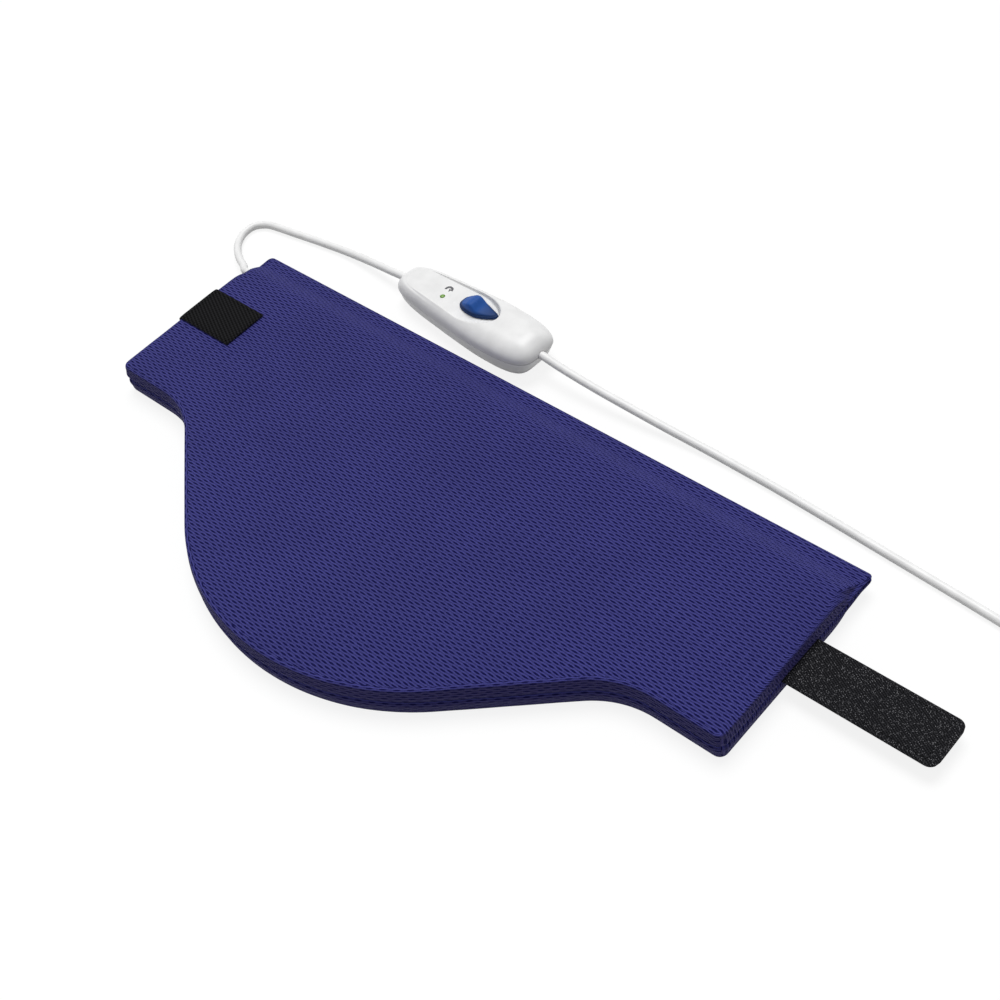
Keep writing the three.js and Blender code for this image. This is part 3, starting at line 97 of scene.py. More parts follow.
class PadSettings(bpy.types.PropertyGroup):
    length: length("Length", "Pad length along the hem", 480)
    depth: length("Depth", "Pad depth from the hem to the bib's front", 240)
    wing_depth: length("Wing depth", "Depth of the pad beside the bib", 136)
    height: length("Height", "Thickness of the filled pad", 22)
    bib_radius: length("Bib radius", "Radius of the bib's round front", 154)
    fillet_radius: length("Fillet radius", "Radius where the wings run into the bib", 58)
    corner_radius: length("Corner radius", "Radius of the wings' front corners", 4.6)
    edge_radius: length("Edge radius", "Rounding between the top and the walls", 2.6)
    foot_radius: length("Foot radius", "Rounding between the underside and the walls", 2.2)
    bulge: length("Bulge", "How far the filling pushes the front walls out past the cut outline", 0.9)
    end_bulge: length("Strap end bulge", "How far the filling pushes out the end with the strap", 2.4)
    cord_end_bulge: length("Cord end bulge", "How far the filling pushes out the end with the cord", 1.2)
    hem_depth: length("Hem depth", "Depth of the flat hem", 10)
    slope_run: length("Slope run", "Depth of the slope behind the hem", 14)
    fabric: length("Fabric", "Thickness of the cover fabric", 1.5)
    row_pitch: length("Row pitch", "Distance between two rows of the knit", 1.63)
    dash_spacing: length("Dash spacing", "Distance between two openings in a row", 7.63)
    puff: length("Puff", "Furthest that the filling may push the fabric", 1.1)
    yarn: colour("Yarn", "Colour of the knit", (0.0405, 0.0405, 0.201))
    # Painted shade: the knit on the upright walls is coloured darker to stand for the shade that falls there, not
    # because it is stretched thinner.
    shaded_wall_yarn: colour("Wall yarn", "Colour of the knit on the walls, where it is stretched thin",
                      (0.032, 0.027, 0.115))
    hollow: colour("Hollow", "Colour in the openings of the knit", (0.0015, 0.0015, 0.055))
    tape: colour("Tape", "Colour of the loop patch and the hook tab", (0.0045, 0.0045, 0.005))
    webbing: colour("Webbing", "Colour of the strap", (0.0075, 0.0075, 0.0088))
    wadding: colour("Wadding", "Colour of the filling", (0.80, 0.77, 0.70))


class ControlSettings(bpy.types.PropertyGroup):
    length: length("Length", "Length of the housing", 130)
    width: length("Width", "Width of the housing", 41)
    recess_floor: length("Recess floor", "Height of the recess floor", 20.4)
    recess_width: length("Recess width", "Width of the recess across its middle", 27)
    hump: length("Hump", "Height of the slider's thumb hump over its edge", 5.2)
    moulding: colour("Moulding", "Colour of the white mouldings", (0.88, 0.88, 0.88))
    slider: colour("Slider", "Colour of the slider", (0.020, 0.088, 0.34))
    lens: colour("Lens", "Colour of the indicator", (0.14, 0.30, 0.03))
    print_ink: colour("Print", "Colour of the printed mark", (0.07, 0.07, 0.08))


class CordSettings(bpy.types.PropertyGroup):
    diameter: length("Diameter", "Outer diameter of the cord", 5.4)
    coil_radius: length("Coil radius", "Radius of the coil's inner turn", 20.5)
    coil_pitch: length("Coil pitch", "Distance between turns side by side", 6.1)
    coil_rise: length("Coil rise", "Height between the two layers of the coil", 6.15)
    coil_turns: FloatProperty(name="Turns", description="Turns in the coil", default=7.25)
    sheath: colour("Sheath", "Colour of the cord", (0.92, 0.92, 0.92))


class StageSettings(bpy.types.PropertyGroup):
    lens: FloatProperty(name="Lens", description="Focal length of the camera", default=57.96,
                        subtype="DISTANCE_CAMERA")
    sun_strength: FloatProperty(name="Key", description="Strength of the soft light from behind",
                                default=1.95)
    sun_spread: FloatProperty(name="Key spread", description="Angle over which the soft light is spread",
                              default=math.radians(34), subtype="ANGLE")
    world_strength: FloatProperty(name="World", description="Strength of the even light", default=0.36)
    floor_bounce: share("Floor bounce", "How much light the floor throws back at the object", 0.42)


SETTINGS = {
    "heating_pad_fabric": PadSettings,
    "heating_pad_control": ControlSettings,
    "heating_pad_cord": CordSettings,
    "heating_pad_stage": StageSettings,
}

# Grids and meshes


def points_from(x, y, z):
    """Points from arrays of X, Y and Z, which are spread to one shape."""
    return np.stack(np.broadcast_arrays(x, y, z), axis=-1)


def raised(plan, height):
    """Plan points lifted to one height, or each to its own."""
    return np.column_stack([plan, np.broadcast_to(height, len(plan))])


def unit(vectors):
    return vectors / np.linalg.norm(vectors, axis=-1, keepdims=True)


def linked(name, data):
    """A new object that holds the data, linked to the scene."""
    piece = bpy.data.objects.new(name, data)
    bpy.context.scene.collection.objects.link(piece)
    return piece


def grid_quads(rows, columns, wrap):
    """Corner numbers of the quads between neighbouring rows and columns; wrap joins last column to first."""
    row, column = np.meshgrid(np.arange(rows - 1), np.arange(columns if wrap else columns - 1), indexing="ij")
    after = (column + 1) % columns
    corners = [row * columns + column, row * columns + after,
               (row + 1) * columns + after, (row + 1) * columns + column]
    return np.stack(corners, axis=-1).reshape(-1, 4)


def loft(rings, ends=(True, True)):
    """Points and faces of a surface through closed rings (K, N, 3), each wanted end closed by a fan
    to the mean of its ring."""
    rings = np.asarray(rings, float)
    count, around = rings.shape[:2]
    points = rings.reshape(-1, 3)
    faces = grid_quads(count, around, True).tolist()
    here = np.arange(around)
    after = (here + 1) % around
    for wanted, first, turn in ((ends[0], 0, 1), (ends[1], (count - 1) * around, -1)):
        if wanted:
            pole = np.full(around, len(points))
            points = np.vstack([points, points[first:first + around].mean(axis=0)])
            fan = np.stack([pole, first + after, first + here], axis=1)
            faces += fan[:, ::turn].tolist()
    return points, faces


def facing_out(points, faces):
    """The same faces, all turned round if the volume that they enclose comes out negative."""
    total = 0.0
    for corners in (3, 4):
        some = np.array([face for face in faces if len(face) == corners], int).reshape(-1, corners)
        for second in range(1, corners - 1):
            a, b, c = (points[some[:, place]] for place in (0, second, second + 1))
            total += float(np.einsum("ij,ij->", a, np.cross(b, c)))
    return faces if total > 0 else [face[::-1] for face in faces]


def add_mesh(name, points, faces, sharp=40.0):
    """A smooth-shaded object at the origin from points in millimetres, with edges over sharp degrees
    kept crisp."""
    points = np.asarray(points, float).reshape(-1, 3)
    mesh = bpy.data.meshes.new(name)
    mesh.from_pydata((points * MM).tolist(), [], facing_out(points, faces))
    mesh.validate()
    mesh.shade_smooth()
    mesh.set_sharp_from_angle(angle=math.radians(sharp))
    return linked(name, mesh)


def add_loft(name, rings, sharp=40.0):
    return add_mesh(name, *loft(rings), sharp=sharp)


def merged(parts):
    """Several bodies, each points and faces, as one list of points and one of faces."""
    points, faces, first = [], [], 0
    for part_points, part_faces in parts:
        points.append(part_points)
        faces += [[corner + first for corner in face] for face in facing_out(part_points, part_faces)]
        first += len(part_points)
    return np.vstack(points), faces


def apply_modifiers(piece):
    """Puts the mesh that the modifiers make into the piece and removes them."""
    evaluated = piece.evaluated_get(bpy.context.evaluated_depsgraph_get())
    mesh = bpy.data.meshes.new_from_object(evaluated)
    piece.modifiers.clear()
    piece.data = mesh


def combine(piece, other, operation, sharp=30.0):
    """Joins or cuts a piece with a second closed body, which is removed afterwards."""
    modifier = piece.modifiers.new(operation.title(), "BOOLEAN")
    modifier.operation = operation
    modifier.solver = "EXACT"
    modifier.object = other
    apply_modifiers(piece)
    bpy.data.objects.remove(other)
    piece.data.shade_smooth()
    piece.data.set_sharp_from_angle(angle=math.radians(sharp))


def finish_piece(piece, name, body, replaces=()):
    """Gives a piece the material of that name and its body, and hides the nodes that it stands for."""
    piece.data.materials.clear()
    piece.data.materials.append(finish(name))
    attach(piece, body)
    if replaces:
        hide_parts(*replaces)


# Curves and sections


def arc(centre_x, centre_y, radius, start, end, steps=24):
    """Points on a circle's arc: centre plus radius times (cos, sin) of an angle going from start to end."""
    angle = np.linspace(start, end, steps)
    return np.stack([centre_x + radius * np.cos(angle), centre_y + radius * np.sin(angle)], axis=1)


def spaced(points, count=None, step=None):
    """Points at equal distances along a line through the given ones."""
    points = np.asarray(points, float)
    along = np.concatenate([[0], np.cumsum(np.linalg.norm(np.diff(points, axis=0), axis=1))])
    count = count or int(round(along[-1] / step)) + 1
    places = np.linspace(0, along[-1], count)
    return np.stack([np.interp(places, along, points[:, axis]) for axis in range(points.shape[1])], axis=1)


def spaced_by_turn(points, count, weight):
    """Points along a plan line at equal steps of the distance plus weight times the angle turned, so that
    tight corners get more of them."""
    steps = np.diff(points, axis=0)
    kept = np.linalg.norm(steps, axis=1) > 1e-6
    points, steps = np.vstack([points[:1], points[1:][kept]]), steps[kept]
    heading = np.unwrap(np.arctan2(steps[:, 1], steps[:, 0]))
    turned = np.abs(np.diff(heading, prepend=heading[0]))
    along = np.concatenate([[0], np.cumsum(np.linalg.norm(steps, axis=1) + weight * turned)])
    places = np.linspace(0, along[-1], count)
    return np.stack([np.interp(places, along, points[:, axis]) for axis in (0, 1)], axis=1)


def smooth_route(points, steps=24):
    """Centripetal Catmull-Rom curve: between two points a cubic whose end slopes weigh the neighbouring
    chords by the square roots of their lengths."""
    points = np.asarray(points, float)
    points = np.vstack([2 * points[0] - points[1], points, 2 * points[-1] - points[-2]])
    root = np.sqrt(np.linalg.norm(np.diff(points, axis=0), axis=1))[:, None]
    before, here, after = root[:-2], root[1:-1], root[2:]
    p0, p1, p2, p3 = points[:-3], points[1:-2], points[2:-1], points[3:]
    slope1 = here * ((p1 - p0) / before - (p2 - p0) / (before + here) + (p2 - p1) / here)
    slope2 = here * ((p2 - p1) / here - (p3 - p1) / (here + after) + (p3 - p2) / after)
    t = np.linspace(0, 1, steps, endpoint=False)[None, :, None]
    p1, p2, slope1, slope2 = (part[:, None] for part in (p1, p2, slope1, slope2))
    curve = ((2 * t**3 - 3 * t**2 + 1) * p1 + (t**3 - 2 * t**2 + t) * slope1
             + (3 * t**2 - 2 * t**3) * p2 + (t**3 - t**2) * slope2)
    return np.vstack([curve.reshape(-1, points.shape[1]), points[-2]])


def turn_angles(sides):
    """Angles that share out one whole turn."""
    return np.arange(sides) * 2 * math.pi / sides


def squared_circle(angle, x_power, y_power):
    """Cosine and sine of an angle, each raised to a power with its sign kept: the lower the powers, the
    squarer the outline."""
    cosine, sine = np.cos(angle), np.sin(angle)
    return np.sign(cosine) * np.abs(cosine) ** x_power, np.sign(sine) * np.abs(sine) ** y_power


def quarter_round(t):
    """A quarter circle: the root of 1 less t squared, kept from 0 to 1."""
    return np.sqrt(np.clip(1 - t**2, 0, 1))


def loop_outward(loop):
    """Unit plan vectors that point out of a closed loop that runs anticlockwise, one at each point."""
    ahead = unit(np.roll(loop, -1, axis=0) - np.roll(loop, 1, axis=0))
    return np.stack([ahead[:, 1], -ahead[:, 0]], axis=1)


def tube_rings(path, radius, sides):
    """A circle carried along a path: at each point, radius times (cos across + sin up), where across is
    level and square to the path and up is square to both."""
    ahead = unit(np.gradient(path, axis=0))
    across = unit(np.cross(ahead, [0.0, 0.0, 1.0]))
    up = np.cross(across, ahead)
    cosine, sine = np.cos(turn_angles(sides)), np.sin(turn_angles(sides))
    return path[:, None] + radius * (cosine[:, None] * across[:, None] + sine[:, None] * up[:, None])


def lathe_rings(profile, sides):
    """A profile of [height, radius] pairs turned about Z."""
    height, radius = np.asarray(profile, float).T[..., None]
    angle = turn_angles(sides)
    return points_from(radius * np.cos(angle), radius * np.sin(angle), height)


def along_x(rings):
    """A body turned about Z laid down so that its axis runs along X."""
    return np.stack([rings[..., 2], rings[..., 0], rings[..., 1]], axis=-1)


def rod(start, end, radius, sides=40, along="z"):
    """Points and faces of a round rod between two points that differ along one axis."""
    start, end = np.asarray(start, float), np.asarray(end, float)
    reach = float(np.linalg.norm(end - start))
    rings = lathe_rings([[0, radius], [reach, radius]], sides)
    if along == "x":
        rings = along_x(rings)
    return loft(rings + np.minimum(start, end))


def block(low, high):
    """Points and faces of a box between two corners."""
    low, high = np.asarray(low, float), np.asarray(high, float)
    plan = low[:2] + np.array([[0, 0], [1, 0], [1, 1], [0, 1]]) * (high - low)[:2]
    return loft([raised(plan, level) for level in (low[2], high[2])])


def blend_between(low, high, value):
    """Smooth step: 0 below low, 1 above high, and 3t squared minus 2t cubed between them."""
    t = np.clip((value - low) / (high - low), 0, 1)
    return t * t * (3 - 2 * t)


def halved(holds, low, high, steps=44):
    """For whole arrays, where holds() turns false between low and high, found by halving the interval."""
    low, high = np.broadcast_arrays(np.asarray(low, float), np.asarray(high, float))
    for _ in range(steps):
        middle = (low + high) / 2
        inside = holds(middle)
        low, high = np.where(inside, middle, low), np.where(inside, high, middle)
    return low


def flat_band(path, normals, half_width, thickness, across, sides=64):
    """A strap's section carried along a path: a flat oval, its cosine raised to 0.3 and its sine to
    0.62, thickness high along the normals and half_width wide to either side along across."""
    side, rise = squared_circle(turn_angles(sides), 0.30, 0.62)
    width, height = (np.broadcast_to(size, len(path))[:, None, None] for size in (half_width, thickness))
    return (path[:, None] + side[None, :, None] * width * across
            + rise[None, :, None] * height / 2 * normals[:, None])


# Shader trees


class Tree:
    """Adds nodes to one shader tree and joins them as they are added."""

    def __init__(self, node_tree):
        self.tree = node_tree
        node_tree.nodes.clear()

    def node(self, kind, inputs=(), **values):
        made = self.tree.nodes.new("ShaderNode" + kind)
        for name, value in values.items():
            setattr(made, name, value)
        pairs = inputs.items() if isinstance(inputs, dict) else enumerate(inputs)
        for key, value in pairs:
            if isinstance(value, bpy.types.NodeSocket):
                self.tree.links.new(value, made.inputs[key])
            elif value is not None:
                made.inputs[key].default_value = value
        return made

    def math(self, operation, *values):
        return self.node("Math", values, operation=operation).outputs[0]

    def plus(self, first, second):
        return self.math("ADD", first, second)

    def less(self, first, second):
        return self.math("SUBTRACT", first, second)

    def times(self, first, second):
        return self.math("MULTIPLY", first, second)

    def over(self, first, second):
        return self.math("DIVIDE", first, second)

    def ramp(self, value, low, high, to_low=0.0, to_high=1.0):
        """Smooth step of a value from low..high to to_low..to_high."""
        inputs = [value, low, high, to_low, to_high]
        return self.node("MapRange", inputs, interpolation_type="SMOOTHSTEP").outputs[0]

    def mix(self, factor, first, second):
        return self.node("Mix", {0: factor, 6: first, 7: second}, data_type="RGBA").outputs[2]

    def noise(self, vector, scale, detail=2.0, roughness=0.5, distortion=0.0):
        return self.node("TexNoise", {"Vector": vector, "Scale": scale, "Detail": detail,
                                      "Roughness": roughness, "Distortion": distortion}).outputs[0]

    def object_place(self):
        return self.node("TexCoord").outputs["Object"]

    def group(self, name, inputs):
        """The shared group of that name, placed with its own inputs."""
        return self.node("Group", inputs=inputs, node_tree=shared_group(name)).outputs

    def show(self, shader, kind="OutputMaterial"):
        self.tree.links.new(shader, self.node(kind).inputs[0])


class GroupTree(Tree):
    """A shader node group with named inputs and outputs."""

    def __init__(self, name, inputs, outputs):
        self.group_tree = bpy.data.node_groups.new(name, "ShaderNodeTree")
        super().__init__(self.group_tree)
        for label, default in inputs.items():
            socket = self.add_socket(label, "INPUT", "Vector" if default is None else "Float")
            if default is not None:
                socket.default_value = default
        for label in outputs:
            self.add_socket(label, "OUTPUT", "Float")
        self.inlet = self.tree.nodes.new("NodeGroupInput")
        self.outlet = self.tree.nodes.new("NodeGroupOutput")

    def add_socket(self, label, way, kind):
        return self.group_tree.interface.new_socket(label, in_out=way, socket_type="NodeSocket" + kind)

    def give(self, **outputs):
        for label, socket in outputs.items():
            self.tree.links.new(socket, self.outlet.inputs[label])
        return self.group_tree


def knit_group():
    """Rows of long openings in a knit: a row number from one coordinate over the pitch, and along each
    row an oval opening at every spacing, moved half a spacing in every other row. Between two rows runs
    a shallow groove, and round each yarn a twist of 9 turns to a spacing."""
    tree = GroupTree("knit rows", {"Place": None, "Pitch": 1.0, "Spacing": 1.0},
                     ["Opening", "Height", "Tone"])
    place, pitch, spacing = tree.inlet.outputs[:3]
    half_opening, half_gap, whole_turn = 0.29, 0.34, 2 * math.pi
    along, across = tree.node("SeparateXYZ", [place]).outputs[:2]
    wander = tree.times(tree.less(tree.noise(place, 60.0, 1.0), 0.5), tree.times(pitch, 0.5))
    row = tree.over(tree.plus(across, wander), pitch)
    number = tree.math("FLOOR", row)
    off_row = tree.less(tree.less(row, number), 0.5)
    odd = tree.math("FLOORED_MODULO", number, 2.0)
    chance = tree.node("TexWhiteNoise", {"W": number}, noise_dimensions="1D").outputs["Value"]
    shift = tree.plus(tree.times(odd, 0.5), tree.times(chance, 0.1))
    loop = tree.plus(tree.over(along, spacing), shift)
    off_loop = tree.less(tree.math("FRACT", loop), 0.5)
    far_along = tree.math("POWER", tree.over(off_loop, half_opening), 2.0)
    far_across = tree.math("POWER", tree.over(off_row, half_gap), 2.0)
    opening = tree.ramp(tree.plus(far_along, far_across), 0.6, 1.2, 1.0, 0.0)
    groove = tree.ramp(tree.math("ABSOLUTE", off_row), 0.08, 0.36, 0.28, 0.0)
    opening = tree.math("MAXIMUM", opening, groove)
    twist = tree.math("SINE", tree.times(tree.plus(tree.times(loop, 9.0), row), whole_turn))
    ridge = tree.math("COSINE", tree.times(row, whole_turn))
    height = tree.less(tree.times(tree.plus(ridge, twist), 0.16), opening)
    tone = tree.plus(tree.times(twist, 0.10), tree.times(ridge, 0.26))
    tone = tree.plus(tone, tree.less(tree.noise(place, 900.0), 0.5))
    return tree.give(Opening=opening, Height=height, Tone=tone)


def ribs_group():
    """Twill of a woven tape: 0.4 of a sine of x / 2 + y, 0.2 of a sine of x - y / 2, and fibre noise."""
    tree = GroupTree("tape ribs", {"Place": None, "Pitch": 1.0}, ["Height", "Tone"])
    place, pitch = tree.inlet.outputs[:2]
    turn = tree.over(2 * math.pi, pitch)
    x, y = tree.node("SeparateXYZ", [place]).outputs[:2]
    first = tree.math("SINE", tree.times(tree.plus(tree.times(x, 0.5), y), turn))
    second = tree.math("SINE", tree.times(tree.less(x, tree.times(y, 0.5)), turn))
    crossed = tree.plus(tree.times(first, 0.4), tree.times(second, 0.2))
    height = tree.plus(crossed, tree.noise(place, 1500.0, 3.0, 0.7))
    return tree.give(Height=height, Tone=tree.times(height, 0.5))


def fibre_group():
    """Matted fibres: fine noise bent by coarser noise."""
    tree = GroupTree("matted fibre", {"Place": None, "Scale": 300.0}, ["Height", "Tone"])
    place, scale = tree.inlet.outputs[:2]
    bent = tree.noise(place, scale, 6.0, 0.7, 2.5)
    return tree.give(Height=bent, Tone=tree.times(bent, tree.noise(place, 40.0)))


def moulding_group():
    """A moulded or drawn surface: slow waves, fine grain, and sparse rubbed spots."""
    tree = GroupTree("moulded skin", {"Place": None, "Grain": 1200.0}, ["Height", "Tone", "Rubbed"])
    place, grain = tree.inlet.outputs[:2]
    waves = tree.noise(place, 90.0)
    rubbed = tree.ramp(tree.noise(place, 220.0, 5.0, 0.75), 0.56, 0.74)
    height = tree.plus(tree.times(waves, 0.7), tree.times(tree.noise(place, grain, 2.0, 0.6), 0.3))
    return tree.give(Height=height, Tone=tree.less(waves, 0.5), Rubbed=rubbed)


GROUP_MAKERS = {"knit rows": knit_group, "tape ribs": ribs_group, "matted fibre": fibre_group,
                "moulded skin": moulding_group}


def shared_group(name):
    return bpy.data.node_groups.get(name) or GROUP_MAKERS[name]()


def rgb(values, factor=1.0):
    return (*(min(1.0, value * factor) for value in values), 1.0)


def start_material(name):
    material = bpy.data.materials.new(name)
    material.use_nodes = True
    return material, Tree(material.node_tree)


def end_material(tree, base, roughness, height=None, strength=0.5, distance=0.3, **shader):
    """Joins colour, roughness and bump height to a Principled shader; distance is in millimetres."""
    inputs = {"Base Color": base, "Roughness": roughness}
    inputs.update({name.replace("_", " "): value for name, value in shader.items()})
    if height is not None:
        bump = tree.node("Bump", {"Strength": strength, "Distance": distance * MM, "Height": height})
        inputs["Normal"] = bump.outputs[0]
    tree.show(tree.node("BsdfPrincipled", inputs).outputs[0])


def knit_material(name, settings):
    """The mesh fabric: yarn colour with darker openings in rows, a soft sheen and raised yarns. As the surface
    turns upright a darker wall colour takes over, painted shade for the walls."""
    material, tree = start_material(name)
    place = tree.node("UVMap", uv_map="fabric").outputs[0]
    knit = tree.group("knit rows", {"Place": place, "Pitch": settings.row_pitch,
                                    "Spacing": settings.dash_spacing})
    # Painted shade: from level to upright the knit takes the darker wall colour, in place of the shade on the
    # walls.
    facing = tree.node("SeparateXYZ", [tree.node("TexCoord").outputs["Normal"]]).outputs[2]
    level = tree.ramp(tree.math("ABSOLUTE", facing), 0.15, 0.85)
    lighter, darker = (tree.mix(level, rgb(settings.shaded_wall_yarn, factor), rgb(settings.yarn, factor))
                       for factor in (1.45, 0.66))
    yarn = tree.mix(tree.ramp(knit["Tone"], -0.45, 0.45), darker, lighter)
    cloud = tree.ramp(tree.noise(tree.object_place(), 26.0, 3.0), 0.3, 0.7, 0.0, 0.22)
    yarn = tree.mix(cloud, yarn, darker)
    base = tree.mix(knit["Opening"], yarn, rgb(settings.hollow))
    rough = tree.ramp(knit["Opening"], 0.0, 1.0, 0.72, 0.95)
    end_material(tree, base, rough, knit["Height"], 0.8, 0.45, Sheen_Weight=0.05, Sheen_Roughness=0.45,
                 Sheen_Tint=(0.45, 0.45, 0.9, 1.0), Specular_IOR_Level=0.18)
    return material


def tape_material(name, base_colour, pitch, specks=0.0):
    """Black tape: crossed ribs with fibre noise, and on the strap sparse pale specks."""
    material, tree = start_material(name)
    place = tree.object_place()
    ribs = tree.group("tape ribs", {"Place": place, "Pitch": pitch * MM})
    dark, light = rgb(base_colour, 0.1), rgb(base_colour, 3.4)
    base = tree.mix(tree.ramp(ribs["Tone"], -0.12, 0.68), dark, light)
    if specks:
        cells = tree.node("TexVoronoi", {"Vector": place, "Scale": 1900.0})
        chance = tree.node("TexWhiteNoise", {"Vector": cells.outputs["Position"]}, noise_dimensions="3D")
        near = tree.ramp(cells.outputs["Distance"], 0.2, 0.5, 1.0, 0.0)
        chosen = tree.times(near, tree.math("GREATER_THAN", chance.outputs["Value"], 1 - specks))
        base = tree.mix(tree.times(chosen, 0.7), base, (0.36, 0.36, 0.38, 1.0))
    rough = tree.ramp(ribs["Tone"], -0.3, 0.9, 0.95, 0.7)
    end_material(tree, base, rough, ribs["Height"], 0.6, 0.25, Specular_IOR_Level=0.06)
    return material


def fibre_material(name, base_colour, scale):
    """Matted filling or fleece with tone that follows the fibres."""
    material, tree = start_material(name)
    fibre = tree.group("matted fibre", {"Place": tree.object_place(), "Scale": scale})
    base = tree.mix(fibre["Tone"], rgb(base_colour, 0.7), rgb(base_colour, 1.1))
    end_material(tree, base, 0.95, fibre["Height"], 0.9, 0.8, Sheen_Weight=0.2)
    return material


def moulded_material(name, base_colour, roughness, grain, strength, rub=0.25, **shader):
    """Plastic or plated metal with slow waves, fine grain and rubbed spots that change its roughness."""
    material, tree = start_material(name)
    skin = tree.group("moulded skin", {"Place": tree.object_place(), "Grain": grain})
    base = tree.mix(tree.ramp(skin["Tone"], -0.3, 0.3), rgb(base_colour, 0.94), rgb(base_colour, 1.04))
    rough = tree.ramp(skin["Rubbed"], 0.0, 1.0, roughness, min(1.0, roughness + rub * 0.4))
    end_material(tree, base, rough, skin["Height"], strength, 0.25, **shader)
    return material


def slider_material(name, settings):
    """The slider's satin blue, with painted shade: darker towards its foot, below the hump."""
    material, tree = start_material(name)
    place = tree.object_place()
    skin = tree.group("moulded skin", {"Place": place, "Grain": 1800.0})
    height = tree.node("SeparateXYZ", [place]).outputs[2]
    # Painted shade: the blue falls to 0.3 of itself from 5 mm down to 2 mm over the recess floor.
    out_of_painted_shade = tree.ramp(height, settings.recess_floor + 2.0 * MM, settings.recess_floor + 5.0 * MM)
    base = tree.mix(out_of_painted_shade, rgb(settings.slider, 0.3), rgb(settings.slider, 1.06))
    rough = tree.ramp(skin["Rubbed"], 0.0, 1.0, 0.5, 0.6)
    end_material(tree, base, rough, skin["Height"], 0.1, 0.25, Specular_IOR_Level=0.15)
    return material


def board_material(name):
    """A lacquered board: green, with pale tracks in a grid of lines broken up by noise."""
    material, tree = start_material(name)
    place = tree.object_place()
    bend = tree.times(tree.noise(place, 300.0, 1.0), 0.004)
    waves = [tree.math("SINE", tree.times(tree.plus(axis, bend), 2600.0))
             for axis in tree.node("SeparateXYZ", [place]).outputs[:2]]
    tracks = tree.ramp(tree.math("MAXIMUM", *waves), 0.86, 0.95)
    base = tree.mix(tracks, (0.012, 0.11, 0.045, 1.0), (0.03, 0.22, 0.09, 1.0))
    end_material(tree, base, 0.35, tracks, 0.3, 0.1, Coat_Weight=0.4)
    return material


def heater_material(name):
    """The heating cord: red insulation with a fine spiral under it."""
    material, tree = start_material(name)
    inputs = {"Vector": tree.object_place(), "Scale": 420.0, "Distortion": 0.4}
    wave = tree.node("TexWave", inputs, bands_direction="DIAGONAL").outputs[1]
    base = tree.mix(wave, (0.32, 0.035, 0.015, 1.0), (0.55, 0.09, 0.04, 1.0))
    end_material(tree, base, 0.55, wave, 0.4, 0.2)
    return material


def finish(name):
    """The material of that name, made at the first call and found again afterwards. Mouldings list their
    colour, roughness, grain, bump and other shader inputs."""
    scene = bpy.context.scene
    pad, control, cords = scene.heating_pad_fabric, scene.heating_pad_control, scene.heating_pad_cord
    glow = {"Emission_Color": (0.2, 0.5, 0.05, 1.0), "Emission_Strength": 0.08}
    makers = {
        "mesh fabric": (knit_material, pad),
        "loop tape": (tape_material, pad.tape, 2.4),
        "hook tape": (tape_material, pad.tape, 1.6),
        "strap webbing": (tape_material, pad.webbing, 1.4, 0.17),
        "wadding": (fibre_material, pad.wadding, 160.0),
        "fleece": (fibre_material, (0.7, 0.7, 0.67), 420.0),
        "slider moulding": (slider_material, control),
        "circuit board": (board_material,),
        "heating cord insulation": (heater_material,),
    }
    mouldings = {
        "white moulding": (control.moulding, 0.34, 1500.0, 0.05, {"Specular_IOR_Level": 0.4}),
        "light guide": (control.lens, 0.3, 800.0, 0.05, glow),
        "printed mark": (control.print_ink, 0.5, 2500.0, 0.2, {}),
        "black moulding": ((0.022, 0.022, 0.024), 0.5, 900.0, 0.4, {}),
        "cord sheath": (cords.sheath, 0.4, 700.0, 0.03, {"rub": 0.08}),
        "plated steel": ((0.62, 0.62, 0.64), 0.28, 1600.0, 0.2, {"Metallic": 1.0}),
        "nickel plate": ((0.72, 0.70, 0.66), 0.2, 1400.0, 0.12, {"Metallic": 1.0}),
    }
    if name in bpy.data.materials:
        return bpy.data.materials[name]
    if name in mouldings:
        *values, shader = mouldings[name]
        return moulded_material(name, *values, **shader)
    maker, *values = makers[name]
    return maker(name, *values)


# Stage


class HEATPAD_OT_stage(bpy.types.Operator):
    """Build the camera, the floor, the lamps and the even light around the pad"""

    bl_idname = "heating_pad.stage"
    bl_label = "Stage"

    def execute(self, context):
        settings = context.scene.heating_pad_stage
        context.scene.view_settings.view_transform = "Standard"
        add_camera(context.scene, settings)
        add_floor(settings)
        add_world(context.scene, settings)
        add_sun(settings)
        return {"FINISHED"}


SUN_FROM = (-0.24, 0.30, 1.0)
CAMERA_PLACE = (0.5221, -0.3516, 0.7203)
CAMERA_RIGHT = (0.74223, 0.65501, -0.14163)
CAMERA_UP = (-0.43179, 0.62906, 0.64640)
CAMERA_BACK = (0.51249, -0.41863, 0.74974)


def add_camera(scene, settings):
    """The photograph's view, from the solved place and the three axes of the camera."""
    camera = linked("camera", bpy.data.cameras.new("camera"))
    camera.data.lens = settings.lens
    camera.data.sensor_width = 36.0
    turn = Matrix((CAMERA_RIGHT, CAMERA_UP, CAMERA_BACK)).transposed()
    camera.matrix_world = Matrix.Translation(CAMERA_PLACE) @ turn.to_4x4()
    scene.camera = camera


def seen_factor(tree):
    """1 for rays from the camera, for mirror rays and for rays through glass, and 0 for the rest."""
    path = tree.node("LightPath")
    seen = tree.math("MAXIMUM", path.outputs["Is Camera Ray"], path.outputs["Is Glossy Ray"])
    return tree.math("MAXIMUM", seen, path.outputs["Is Transmission Ray"])


